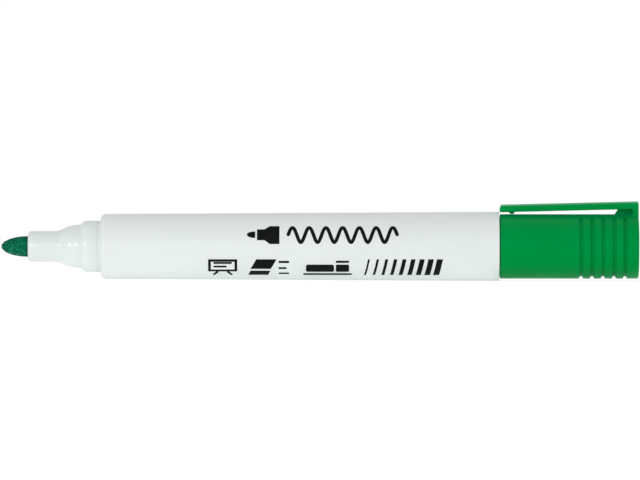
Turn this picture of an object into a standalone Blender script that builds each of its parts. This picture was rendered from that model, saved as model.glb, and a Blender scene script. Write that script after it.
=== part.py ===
"""A bullet-tip whiteboard marker lying on a surface, with its cap posted on its rear end.

Frame: metres, +Z up. +X runs along the marker from the nib to the cap's closed end, and
the pocket clip is uppermost. The origin is at the bottom centre of the marker's box, so
the barrel lies on Z = 0.

Everything that is round about the marker's axis is an outline of (x, radius) points,
turned about X. Each outline starts from its own piece's datum: the nib's from its tip,
the cap's from its mouth, and so on. An empty on the axis carries all of them.

Moving pieces: the cap pulls off the end plug's tail along X and turns on it, and the
clip's arm bends up about its root. The cap shell's origin is on the axis, and the
clip's is on its bending line.
"""

import math

import bmesh
import bpy
from mathutils import Matrix, Vector

MM = 0.001

# Driving dimensions.
TOTAL_LENGTH = 145.0 * MM
NIB_RADIUS = 2.31 * MM
NIB_EXPOSED = 6.0 * MM
NOSE_LENGTH = 16.5 * MM  # from the nib holder's front face to the barrel's shoulder
BARREL_LENGTH = 90.77 * MM
BARREL_FRONT_RADIUS = 7.38 * MM
BARREL_REAR_RADIUS = 7.9 * MM
GRIP_RADIUS = 5.87 * MM  # the nose ring and the plug's tail, which the cap grips
CAP_RADIUS = 7.34 * MM
GAP = 0.3 * MM  # between pieces that touch on the real marker
CAP_SEAT_GAP = 0.15 * MM  # between the cap's mouth and the barrel
GRIP_CLEARANCE = 0.12 * MM  # between the cap's ribs and what they grip
MERGE = 0.001 * MM

# Places along the marker, from the nib's tip.
BARREL_START = NIB_EXPOSED + NOSE_LENGTH
BARREL_END = BARREL_START + BARREL_LENGTH
CAP_START = BARREL_END + CAP_SEAT_GAP
CAP_LENGTH = TOTAL_LENGTH - CAP_START

# Roundness: facets about the axis, with one of them flat on the surface below.
FACETS = 32
FINE_FACETS = 24
FILLET_STEPS = 3
AXIS_HEIGHT = BARREL_REAR_RADIUS * math.cos(math.pi / FACETS)

# Nib.
NIB_TIP_LENGTH = 5.92 * MM
NIB_LENGTH = 40.0 * MM
NIB_TAIL_CHAMFER = 0.6 * MM
NIB_TIP_STEPS = 10
NIB_BORE_RADIUS = NIB_RADIUS + GAP

# Nib holder, from its front face.
SLEEVE_RADIUS = 3.5 * MM
SLEEVE_LENGTH = 7.1 * MM
FLARE_END = 10.5 * MM
FLARE_RADIUS = 4.78 * MM
NECK_END = 12.0 * MM
NECK_RADIUS = 4.92 * MM
RING_START = 12.8 * MM
SEAM_WIDTH = 0.25 * MM  # the open seam between the ring and the barrel's collar
COLLAR_LENGTH = 0.3 * MM
RING_END = NOSE_LENGTH - COLLAR_LENGTH - SEAM_WIDTH
SPIGOT_RADIUS = 5.2 * MM
SPIGOT_END = 27.0 * MM
BEAD_PLACE = 19.5 * MM
BEAD_WIDTH = 1.2 * MM
BEAD_RADIUS = 5.6 * MM
NIB_TUBE_RADIUS = 3.5 * MM
NIB_TUBE_END = 25.0 * MM
OVERFLOW_START = 14.0 * MM
OVERFLOW_RADIUS = 4.15 * MM
AIR_CHANNELS = 3
AIR_CHANNEL_WIDTH = 0.6 * MM
AIR_CHANNEL_DEPTH = 0.35 * MM

# Barrel, from its shoulder.
NECK_BORE_RADIUS = SPIGOT_RADIUS + GAP
CHAMBER_START = SPIGOT_END - NOSE_LENGTH
CHAMBER_RADIUS = 6.2 * MM
PLUG_SEAT_RADIUS = 7.2 * MM
PLUG_SEAT_DEPTH = 1.15 * MM

# End plug, from the barrel's rear face.
PLUG_FLANGE_RADIUS = PLUG_SEAT_RADIUS - GAP
PLUG_FLANGE_LENGTH = PLUG_SEAT_DEPTH - GAP
PLUG_RADIUS = 5.85 * MM
PLUG_DEPTH = 11.5 * MM
PLUG_HOLLOW_RADIUS = 4.4 * MM
PLUG_HOLLOW_END = 9.0 * MM
SEAL_RADIUS = 6.02 * MM
SEAL_WIDTH = 0.9 * MM
SEAL_PLACES = (-8.2 * MM, -4.6 * MM)
TAIL_LENGTH = 10.5 * MM
TAIL_CORE_RADIUS = 5.4 * MM
TAIL_RIBS = 8
TAIL_RIB_WIDTH = 1.1 * MM
VANE_REACH = 14.4 * MM
VANE_THICKNESS = 1.0 * MM

# Ink reservoir and its film.
RESERVOIR_START = NIB_EXPOSED + SPIGOT_END + GAP
RESERVOIR_END = BARREL_END - VANE_REACH - GAP
RESERVOIR_RADIUS = 5.3 * MM
FILM_THICKNESS = 0.25 * MM

# Cap shell, from its mouth.
CAP_BORE_RADIUS = 6.17 * MM
CAP_END_THICKNESS = 1.5 * MM
GROOVES = 5
FIRST_GROOVE = 18.48 * MM
GROOVE_PITCH = 2.5 * MM
GROOVE_WIDTH = 1.1 * MM
GROOVE_FLOOR_WIDTH = 0.6 * MM
GROOVE_DEPTH = 0.5 * MM
LAND_POINTS = 7
CAP_RIBS = 6
CAP_RIB_START = 1.4 * MM
CAP_RIB_END = 11.4 * MM
CAP_RIB_WIDTH = 0.9 * MM

# Cap liner, from the cap's mouth.
LINER_MOUTH = 11.7 * MM
LINER_END = CAP_LENGTH - CAP_END_THICKNESS - GAP
LINER_RADIUS = 4.75 * MM
LINER_BORE_RADIUS = 3.85 * MM
LINER_LIP_RADIUS = 3.56 * MM
LINER_LIP_LENGTH = 0.8 * MM
LINER_BASE_RADIUS = CAP_BORE_RADIUS - GAP
LINER_BASE_LENGTH = 1.3 * MM

# Pocket clip, from the cap's mouth and axis. Its arm climbs evenly from tip to root.
CLIP_WIDTH = 5.3 * MM
CLIP_SIDE_HEIGHT = 1.24 * MM
CLIP_CROWN = 0.5 * MM
CLIP_TIP_HEIGHT = 7.76 * MM  # the underside's height above the axis
CLIP_SLOPE = 0.024
CLIP_TIP_ROUND = 0.55 * MM
CLIP_ROOT = 26.85 * MM
CROWN_STEPS = 6
TOOTH_PLACE = 2.75 * MM
TOOTH_ROOT_LENGTH = 1.3 * MM
TOOTH_FOOT_LENGTH = 0.75 * MM
TOOTH_WIDTH = 3.6 * MM
TOOTH_GAP = 0.08 * MM
WEB_WIDTH = 2.0 * MM
WEB_LEAN = 0.65 * MM
SLOT_END = 30.28 * MM
OVERLAP = 0.5 * MM  # how far shapes reach into each other where they are joined


def material(name, colour, roughness):
    """A plastic-like material with this linear colour."""
    made = bpy.data.materials.new(name)
    made.use_nodes = True
    shader = made.node_tree.nodes["Principled BSDF"]
    shader.inputs["Base Color"].default_value = (*colour, 1)
    shader.inputs["Roughness"].default_value = roughness
    shader.inputs["Metallic"].default_value = 0
    return made


def place(name, mesh, parent, finish, at=(0, 0, 0)):
    """A new object with this mesh, at a place in its parent's space."""
    made = bpy.data.objects.new(name, mesh)
    bpy.context.scene.collection.objects.link(made)
    made.parent = parent
    made.location = at
    if finish:
        mesh.materials.append(finish)
    return made


def rounded(corners):
    """The points of an outline, from (x, r) corners. A corner's third number is its fillet."""
    neighbours = zip([corners[-1], *corners[:-1]], corners, [*corners[1:], corners[0]])
    points = []
    for before, corner, after in neighbours:
        at = Vector(corner[:2])
        if len(corner) < 3:
            points.append(at)
            continue
        fillet = corner[2]
        back = (Vector(before[:2]) - at).normalized()
        on = (Vector(after[:2]) - at).normalized()
        half_angle = back.angle(on) / 2
        centre = at + (back + on).normalized() * fillet / math.sin(half_angle)
        first = at + back * fillet / math.tan(half_angle) - centre
        last = at + on * fillet / math.tan(half_angle) - centre
        for step in range(FILLET_STEPS + 1):
            arm = first.lerp(last, step / FILLET_STEPS).normalized() * fillet
            points.append(centre + arm)
    return points


def turned_mesh(name, points, facets=FACETS):
    """The solid that an outline of (x, r) points sweeps about X. It closes on itself or ends on the axis."""
    shape = bmesh.new()
    half_facet = Matrix.Rotation(math.pi / facets, 3, "X")
    ring = [shape.verts.new(half_facet @ Vector((x, 0, r))) for x, r in points]
    pairs = list(zip(ring, ring[1:]))
    on_axis = points[0][1] == 0 and points[-1][1] == 0
    if not on_axis:
        pairs.append((ring[-1], ring[0]))
    edges = [shape.edges.new(pair) for pair in pairs]
    bmesh.ops.spin(
        shape,
        geom=ring + edges,
        axis=(1, 0, 0),
        cent=(0, 0, 0),
        angle=math.tau,
        steps=facets,
        use_merge=True,
    )
    bmesh.ops.remove_doubles(shape, verts=shape.verts, dist=MERGE)
    return finished(name, shape)


def finished(name, shape):
    """The mesh of a bmesh, its faces pointing out and its curved stretches smooth."""
    bmesh.ops.recalc_face_normals(shape, faces=shape.faces)
    mesh = bpy.data.meshes.new(name)
    shape.to_mesh(mesh)
    shape.free()
    mesh.shade_smooth()
    mesh.set_sharp_from_angle(angle=math.radians(35))
    return mesh


def prism_mesh(name, side, width):
    """A side view of (x, z) points, as wide as this along Y and centred on it."""
    shape = bmesh.new()
    face = shape.faces.new([shape.verts.new((x, -width / 2, z)) for x, z in side])
    grown = bmesh.ops.extrude_face_region(shape, geom=[face])["geom"]
    moved = [part for part in grown if isinstance(part, bmesh.types.BMVert)]
    bmesh.ops.translate(shape, verts=moved, vec=(0, width, 0))
    return finished(name, shape)


def box_side(start, end, low, high):
    """A rectangle's side view."""
    return [(start, low), (end, low), (end, high), (start, high)]


def boolean(target, operation, mesh, at=(0, 0, 0), turn=0.0):
    """Joins a shape to the target, or cuts it away, with the shape turned about the axis."""
    name = f"{target.name}_{operation.lower()}_{len(target.modifiers)}"
    helper = place(name, mesh, target.parent, None, at)
    helper.rotation_euler.x = turn
    helper.hide_render = True
    helper.display_type = "WIRE"
    modifier = target.modifiers.new(name, "BOOLEAN")
    modifier.operation = operation
    modifier.solver = "EXACT"
    modifier.object = helper


def radial_booleans(target, operation, count, start, end, low, high, width):
    """Equal bars round the axis, from one radius to another, each joined to the target or cut away."""
    mesh = prism_mesh(f"{target.name}_bar", box_side(start, end, low, high), width)
    for index in range(count):
        boolean(target, operation, mesh, target.location, math.tau * index / count)


def make_nib(axis, felt):
    """A round rod whose tip is half an ellipse and whose tail enters the reservoir."""
    quarter = [math.pi / 2 * step / NIB_TIP_STEPS for step in range(NIB_TIP_STEPS + 1)]
    tip = [
        (NIB_TIP_LENGTH * (1 - math.cos(angle)), NIB_RADIUS * math.sin(angle))
        for angle in quarter
    ]
    tail = [
        (NIB_LENGTH - NIB_TAIL_CHAMFER, NIB_RADIUS),
        (NIB_LENGTH, NIB_RADIUS - NIB_TAIL_CHAMFER),
        (NIB_LENGTH, 0),
    ]
    mesh = turned_mesh("bullet_nib", tip + tail, FINE_FACETS)
    place("bullet_nib", mesh, axis, felt)


def make_nib_holder(axis, plastic):
    """The nose: a sleeve, a flare and a ring outside, a spigot and the nib's tube inside."""
    corners = [
        (0, NIB_BORE_RADIUS),
        (0, SLEEVE_RADIUS, 0.45 * MM),
        (SLEEVE_LENGTH, SLEEVE_RADIUS, 2.5 * MM),
        (FLARE_END, FLARE_RADIUS, 1.6 * MM),
        (NECK_END, NECK_RADIUS),
        (RING_START, GRIP_RADIUS, 0.2 * MM),
        (RING_END, GRIP_RADIUS),
        (RING_END, SPIGOT_RADIUS),
        (BEAD_PLACE - BEAD_WIDTH, SPIGOT_RADIUS),
        (BEAD_PLACE - BEAD_WIDTH / 4, BEAD_RADIUS),
        (BEAD_PLACE + BEAD_WIDTH / 4, BEAD_RADIUS),
        (BEAD_PLACE + BEAD_WIDTH, SPIGOT_RADIUS),
        (SPIGOT_END, SPIGOT_RADIUS, 0.4 * MM),
        (SPIGOT_END, OVERFLOW_RADIUS),
        (OVERFLOW_START, OVERFLOW_RADIUS),
        (OVERFLOW_START, NIB_TUBE_RADIUS),
        (NIB_TUBE_END, NIB_TUBE_RADIUS),
        (NIB_TUBE_END, NIB_BORE_RADIUS),
    ]
    mesh = turned_mesh("nib_holder", rounded(corners))
    holder = place("nib_holder", mesh, axis, plastic, (NIB_EXPOSED, 0, 0))
    radial_booleans(
        holder,
        "DIFFERENCE",
        AIR_CHANNELS,
        -OVERLAP,
        NIB_TUBE_END + OVERLAP,
        NIB_BORE_RADIUS - OVERLAP,
        NIB_BORE_RADIUS + AIR_CHANNEL_DEPTH,
        AIR_CHANNEL_WIDTH,
    )


def make_barrel(axis, plastic):
    """A tube that widens to the rear, with a neck for the nib holder and a seat for the plug."""
    bead = BEAD_PLACE - NOSE_LENGTH
    bead_groove = BEAD_RADIUS + GAP
    corners = [
        (-COLLAR_LENGTH, NECK_BORE_RADIUS),
        (-COLLAR_LENGTH, GRIP_RADIUS),
        (0, GRIP_RADIUS),
        (0, BARREL_FRONT_RADIUS, 0.65 * MM),
        (BARREL_LENGTH, BARREL_REAR_RADIUS, 0.2 * MM),
        (BARREL_LENGTH, PLUG_SEAT_RADIUS),
        (BARREL_LENGTH - PLUG_SEAT_DEPTH, PLUG_SEAT_RADIUS),
        (BARREL_LENGTH - PLUG_SEAT_DEPTH, CHAMBER_RADIUS),
        (CHAMBER_START, CHAMBER_RADIUS),
        (CHAMBER_START, NECK_BORE_RADIUS),
        (bead + BEAD_WIDTH, NECK_BORE_RADIUS),
        (bead + BEAD_WIDTH / 2, bead_groove),
        (bead - BEAD_WIDTH / 2, bead_groove),
        (bead - BEAD_WIDTH, NECK_BORE_RADIUS),
    ]
    mesh = turned_mesh("barrel", rounded(corners))
    place("barrel", mesh, axis, plastic, (BARREL_START, 0, 0))


def make_reservoir(axis, fibre, film):
    """The ink-soaked fibre rod, with a socket for the nib's tail, and its thin film sleeve."""
    length = RESERVOIR_END - RESERVOIR_START
    socket = NIB_LENGTH + GAP - RESERVOIR_START
    rod = [
        (socket, 0),
        (socket, NIB_BORE_RADIUS),
        (0, NIB_BORE_RADIUS),
        (0, RESERVOIR_RADIUS),
        (length, RESERVOIR_RADIUS),
        (length, 0),
    ]
    start = (RESERVOIR_START, 0, 0)
    place("ink_reservoir", turned_mesh("ink_reservoir", rod), axis, fibre, start)
    inside = RESERVOIR_RADIUS + GAP
    outside = inside + FILM_THICKNESS
    sleeve = [(0, inside), (0, outside), (length, outside), (length, inside)]
    place("reservoir_film", turned_mesh("reservoir_film", sleeve), axis, film, start)


def make_end_plug(axis, plastic):
    """A cup pressed into the barrel's rear, with a flange, two seals and a ribbed tail."""
    seals = []
    for middle in SEAL_PLACES:
        seals += [
            (middle - SEAL_WIDTH / 2, PLUG_RADIUS),
            (middle, SEAL_RADIUS),
            (middle + SEAL_WIDTH / 2, PLUG_RADIUS),
        ]
    corners = [
        (PLUG_HOLLOW_END, 0),
        (PLUG_HOLLOW_END, PLUG_HOLLOW_RADIUS),
        (-PLUG_DEPTH, PLUG_HOLLOW_RADIUS),
        (-PLUG_DEPTH, PLUG_RADIUS, 0.4 * MM),
        *seals,
        (-PLUG_FLANGE_LENGTH, PLUG_RADIUS),
        (-PLUG_FLANGE_LENGTH, PLUG_FLANGE_RADIUS),
        (0, PLUG_FLANGE_RADIUS),
        (0, TAIL_CORE_RADIUS),
        (TAIL_LENGTH, TAIL_CORE_RADIUS, 0.7 * MM),
        (TAIL_LENGTH, 0),
    ]
    mesh = turned_mesh("end_plug", rounded(corners))
    plug = place("end_plug", mesh, axis, plastic, (BARREL_END, 0, 0))
    rib_top = GRIP_RADIUS * math.cos(math.pi / FACETS)
    lead_in = 1.6 * MM
    rib_side = [
        (-OVERLAP / 2, TAIL_CORE_RADIUS - OVERLAP),
        (TAIL_LENGTH - OVERLAP, TAIL_CORE_RADIUS - OVERLAP),
        (TAIL_LENGTH - OVERLAP, TAIL_CORE_RADIUS - OVERLAP / 4),
        (TAIL_LENGTH - lead_in, rib_top),
        (-OVERLAP / 2, rib_top),
    ]
    rib = prism_mesh("tail_rib", rib_side, TAIL_RIB_WIDTH)
    for index in range(TAIL_RIBS):
        turn = math.tau * (index + 0.5) / TAIL_RIBS
        boolean(plug, "UNION", rib, plug.location, turn)
    reach = PLUG_HOLLOW_RADIUS + OVERLAP
    vane_side = [
        (-VANE_REACH, -RESERVOIR_RADIUS / 2),
        (-PLUG_DEPTH + OVERLAP, -reach),
        (PLUG_HOLLOW_END + OVERLAP, -reach),
        (PLUG_HOLLOW_END + OVERLAP, reach),
        (-PLUG_DEPTH + OVERLAP, reach),
        (-VANE_REACH, RESERVOIR_RADIUS / 2),
    ]
    vane = prism_mesh("plug_vane", vane_side, VANE_THICKNESS)
    for turn in (0, math.pi / 2):
        boolean(plug, "UNION", vane, plug.location, turn)


def clip_underside(along):
    """The height of the clip's underside above the axis, at this distance from the cap's mouth."""
    return CLIP_TIP_HEIGHT + CLIP_SLOPE * along


def clip_section(along, drop=0.0):
    """The clip's section across Y, with a crowned top that may be dropped to round the tip."""
    low = clip_underside(along)
    side = low + CLIP_SIDE_HEIGHT - drop
    half = CLIP_WIDTH / 2
    crown = [
        (half * math.cos(angle), side + CLIP_CROWN * math.sin(angle))
        for angle in (math.pi * step / CROWN_STEPS for step in range(CROWN_STEPS + 1))
    ]
    return [(along, y, z) for y, z in [(-half, low), (half, low), *crown]]


def lofted_mesh(name, sections, origin=(0, 0, 0)):
    """A solid through these sections, its points measured from an origin."""
    shape = bmesh.new()
    rings = [
        [shape.verts.new(Vector(point) - Vector(origin)) for point in section]
        for section in sections
    ]
    for near, far in zip(rings, rings[1:]):
        for index in range(len(near)):
            after = (index + 1) % len(near)
            shape.faces.new((near[index], near[after], far[after], far[index]))
    shape.faces.new(rings[0])
    shape.faces.new(rings[-1])
    return finished(name, shape)


def groove_land():
    """The plain strip under the clip, as wide as the clip, where the grooves stop."""
    reach = CAP_RADIUS * math.cos(math.pi / FACETS) - OVERLAP / 50
    widest = math.asin(CLIP_WIDTH / 2 / reach)
    turns = [widest * (2 * step / (LAND_POINTS - 1) - 1) for step in range(LAND_POINTS)]
    top = [(reach * math.sin(turn), reach * math.cos(turn)) for turn in turns]
    low = CAP_BORE_RADIUS + OVERLAP / 6
    outline = [(-CLIP_WIDTH / 2, low), *top, (CLIP_WIDTH / 2, low)]
    last_groove = FIRST_GROOVE + GROOVE_PITCH * (GROOVES - 1)
    ends = (FIRST_GROOVE - GROOVE_WIDTH, last_groove + GROOVE_WIDTH)
    return lofted_mesh("groove_land", [[(end, y, z) for y, z in outline] for end in ends])


def make_cap_shell(axis, plastic):
    """A cup with grip grooves near its closed end and the clip's root on top of it."""
    grooves = []
    for index in reversed(range(GROOVES)):
        middle = FIRST_GROOVE + GROOVE_PITCH * index
        grooves += [
            (middle + GROOVE_WIDTH / 2, CAP_RADIUS),
            (middle + GROOVE_FLOOR_WIDTH / 2, CAP_RADIUS - GROOVE_DEPTH),
            (middle - GROOVE_FLOOR_WIDTH / 2, CAP_RADIUS - GROOVE_DEPTH),
            (middle - GROOVE_WIDTH / 2, CAP_RADIUS),
        ]
    floor = CAP_LENGTH - CAP_END_THICKNESS
    corners = [
        (CAP_LENGTH, 0),
        (CAP_LENGTH, CAP_RADIUS, 0.3 * MM),
        *grooves,
        (0, CAP_RADIUS, 0.25 * MM),
        (0, CAP_BORE_RADIUS + GAP),
        (GAP, CAP_BORE_RADIUS),
        (floor, CAP_BORE_RADIUS),
        (floor, 0),
    ]
    mesh = turned_mesh("cap_shell", rounded(corners))
    start = (CAP_START, 0, 0)
    shell = place("cap_shell", mesh, axis, plastic, start)
    radial_booleans(
        shell,
        "UNION",
        CAP_RIBS,
        CAP_RIB_START,
        CAP_RIB_END,
        GRIP_RADIUS + GRIP_CLEARANCE,
        CAP_BORE_RADIUS + OVERLAP,
        CAP_RIB_WIDTH,
    )
    boolean(shell, "UNION", groove_land(), start)
    deep = CAP_RADIUS - 2 * OVERLAP
    top_plate = lofted_mesh(
        "clip_root_plate", [clip_section(CLIP_ROOT), clip_section(CAP_LENGTH)]
    )
    web_side = [
        (CLIP_ROOT - WEB_LEAN, deep),
        (CAP_LENGTH - OVERLAP, deep),
        (CAP_LENGTH - OVERLAP, clip_underside(CAP_LENGTH) + OVERLAP),
        (CLIP_ROOT, clip_underside(CLIP_ROOT) + OVERLAP),
        (CLIP_ROOT, clip_underside(CLIP_ROOT)),
        (CLIP_ROOT - WEB_LEAN, CAP_RADIUS),
    ]
    end_side = box_side(SLOT_END, CAP_LENGTH, deep, clip_underside(CAP_LENGTH) + OVERLAP)
    boolean(shell, "UNION", prism_mesh("clip_web", web_side, WEB_WIDTH), start)
    boolean(shell, "UNION", prism_mesh("clip_end_wall", end_side, CLIP_WIDTH), start)
    boolean(shell, "UNION", top_plate, start)


def make_cap_liner(axis, plastic):
    """The sealing cup inside the cap, whose lip closes round the nib holder's sleeve."""
    floor = LINER_END - LINER_BASE_LENGTH
    corners = [
        (LINER_END, 0),
        (LINER_END, LINER_BASE_RADIUS),
        (floor, LINER_BASE_RADIUS),
        (floor, LINER_RADIUS),
        (LINER_MOUTH, LINER_RADIUS, 0.3 * MM),
        (LINER_MOUTH, LINER_BORE_RADIUS),
        (LINER_MOUTH + LINER_LIP_LENGTH / 2, LINER_LIP_RADIUS),
        (LINER_MOUTH + LINER_LIP_LENGTH, LINER_LIP_RADIUS),
        (LINER_MOUTH + 2 * LINER_LIP_LENGTH, LINER_BORE_RADIUS),
        (floor, LINER_BORE_RADIUS),
        (floor, 0),
    ]
    mesh = turned_mesh("cap_liner", rounded(corners), FINE_FACETS)
    place("cap_liner", mesh, axis, plastic, (CAP_START, 0, 0))


def make_clip(axis, plastic):
    """The clip's arm, from its rounded tip to its root, with the tooth that grips a pocket."""
    bend_height = clip_underside(CLIP_ROOT) + (CLIP_SIDE_HEIGHT + CLIP_CROWN) / 2
    hinge = Vector((CLIP_ROOT, 0, bend_height))
    sections = []
    for step in range(FILLET_STEPS + 1):
        angle = math.pi / 2 * step / FILLET_STEPS
        along = CLIP_TIP_ROUND * (1 - math.cos(angle))
        sections.append(clip_section(along, CLIP_TIP_ROUND * (1 - math.sin(angle))))
    sections.append(clip_section(CLIP_ROOT - GAP))
    arm_mesh = lofted_mesh("pocket_clip", sections, hinge)
    arm = place("pocket_clip", arm_mesh, axis, plastic, Vector((CAP_START, 0, 0)) + hinge)
    foot = CAP_RADIUS + TOOTH_GAP
    top = clip_underside(TOOTH_PLACE)
    tooth_side = [
        (TOOTH_PLACE - TOOTH_FOOT_LENGTH / 2, foot),
        (TOOTH_PLACE + TOOTH_FOOT_LENGTH / 2, foot),
        (TOOTH_PLACE + TOOTH_ROOT_LENGTH / 2, top),
        (TOOTH_PLACE + TOOTH_ROOT_LENGTH / 2, top + OVERLAP),
        (TOOTH_PLACE - TOOTH_ROOT_LENGTH / 2, top + OVERLAP),
        (TOOTH_PLACE - TOOTH_ROOT_LENGTH / 2, top),
    ]
    tooth = prism_mesh("clip_tooth", tooth_side, TOOTH_WIDTH)
    boolean(arm, "UNION", tooth, (CAP_START, 0, 0))


def main():
    for old in list(bpy.data.objects):
        bpy.data.objects.remove(old)
    white = material("white_plastic", (0.78, 0.80, 0.79), 0.42)
    nose_white = material("nose_plastic", (0.76, 0.80, 0.78), 0.25)
    green = material("green_plastic", (0.0, 0.283, 0.056), 0.28)
    liner_white = material("liner_plastic", (0.74, 0.76, 0.74), 0.45)
    felt = material("inked_felt", (0.003, 0.12, 0.065), 0.75)
    fibre = material("inked_fibre", (0.004, 0.16, 0.07), 0.85)
    film = material("clear_film", (0.7, 0.75, 0.72), 0.15)

    axis = bpy.data.objects.new("marker_axis", None)
    bpy.context.scene.collection.objects.link(axis)
    axis.location = (-TOTAL_LENGTH / 2, 0, AXIS_HEIGHT)

    make_nib(axis, felt)
    make_nib_holder(axis, nose_white)
    make_barrel(axis, white)
    make_reservoir(axis, fibre, film)
    make_end_plug(axis, green)
    make_cap_shell(axis, green)
    make_cap_liner(axis, liner_white)
    make_clip(axis, green)


main()
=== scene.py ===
"""The looks of a green bullet-tip whiteboard marker with its cap posted on its rear end.

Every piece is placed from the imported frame. The marker's axis runs along X, at the height
of the barrel's own radius, with the nib at the low end and the pocket clip on top.
"""

from __future__ import annotations

import logging
import math
from dataclasses import dataclass
from enum import Enum

import bmesh
import bpy
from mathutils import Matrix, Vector


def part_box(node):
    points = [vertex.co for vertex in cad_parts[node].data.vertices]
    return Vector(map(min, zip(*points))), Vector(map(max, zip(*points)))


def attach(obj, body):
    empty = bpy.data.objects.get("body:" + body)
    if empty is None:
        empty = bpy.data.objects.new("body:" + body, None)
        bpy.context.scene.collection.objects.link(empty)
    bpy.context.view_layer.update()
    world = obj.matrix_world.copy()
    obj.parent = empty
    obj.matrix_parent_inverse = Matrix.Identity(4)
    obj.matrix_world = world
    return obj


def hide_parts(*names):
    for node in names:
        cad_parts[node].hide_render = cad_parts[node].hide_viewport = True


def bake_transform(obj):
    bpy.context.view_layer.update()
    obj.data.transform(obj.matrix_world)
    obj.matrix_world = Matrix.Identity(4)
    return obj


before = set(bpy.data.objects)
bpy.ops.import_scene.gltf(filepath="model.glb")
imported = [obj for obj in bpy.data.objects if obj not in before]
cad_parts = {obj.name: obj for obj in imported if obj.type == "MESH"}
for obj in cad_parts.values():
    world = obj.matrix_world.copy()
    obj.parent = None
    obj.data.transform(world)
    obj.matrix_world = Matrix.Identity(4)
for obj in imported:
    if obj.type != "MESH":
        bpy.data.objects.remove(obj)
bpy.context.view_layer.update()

log = logging.getLogger("whiteboard_marker")

MM = 0.001
MICRON = 0.001 * MM
SMOOTH_ANGLE = math.radians(32)

Point = tuple[float, float]
Colour = tuple[float, float, float]
PerAxis = tuple[float, float, float]


# ---------------------------------------------------------------------------
# The frame
# ---------------------------------------------------------------------------


@dataclass(frozen=True)
class Datums:
    """The places along the marker that its pieces are built from, in metres."""

    axis_height: float
    nib_tip: float
    nose_face: float
    collar_face: float
    barrel_rear: float
    plug_start: float
    tail_end: float
    cap_mouth: float
    cap_end: float
    liner_mouth: float
    liner_end: float
    clip_root: float

    @classmethod
    def from_frame(cls) -> Datums:
        """Reads each place from the boxes of the frame's nodes.

        Returns:
            The places.
        """
        barrel_low, barrel_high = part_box("barrel")
        cap_low, cap_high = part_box("cap_shell")
        liner_low, liner_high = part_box("cap_liner")
        plug_low, plug_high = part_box("end_plug")
        return cls(
            axis_height=(barrel_low.z + barrel_high.z) / 2,
            nib_tip=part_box("bullet_nib")[0].x,
            nose_face=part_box("nib_holder")[0].x,
            collar_face=barrel_low.x,
            barrel_rear=barrel_high.x,
            plug_start=plug_low.x,
            tail_end=plug_high.x,
            cap_mouth=cap_low.x,
            cap_end=cap_high.x,
            liner_mouth=liner_low.x,
            liner_end=liner_high.x,
            clip_root=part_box("pocket_clip")[1].x,
        )


# ---------------------------------------------------------------------------
# Shader work
# ---------------------------------------------------------------------------


def linear(red: int, green: int, blue: int) -> Colour:
    """Turns a display colour into the linear one that shaders take.

    Args:
        red: The red share, 0 to 255.
        green: The green share, 0 to 255.
        blue: The blue share, 0 to 255.

    Returns:
        The three linear shares, 0 to 1.
    """

    def channel(value: int) -> float:
        """One share, made linear."""
        share = value / 255
        return share / 12.92 if share <= 0.04045 else ((share + 0.055) / 1.055) ** 2.4

    return channel(red), channel(green), channel(blue)


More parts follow.
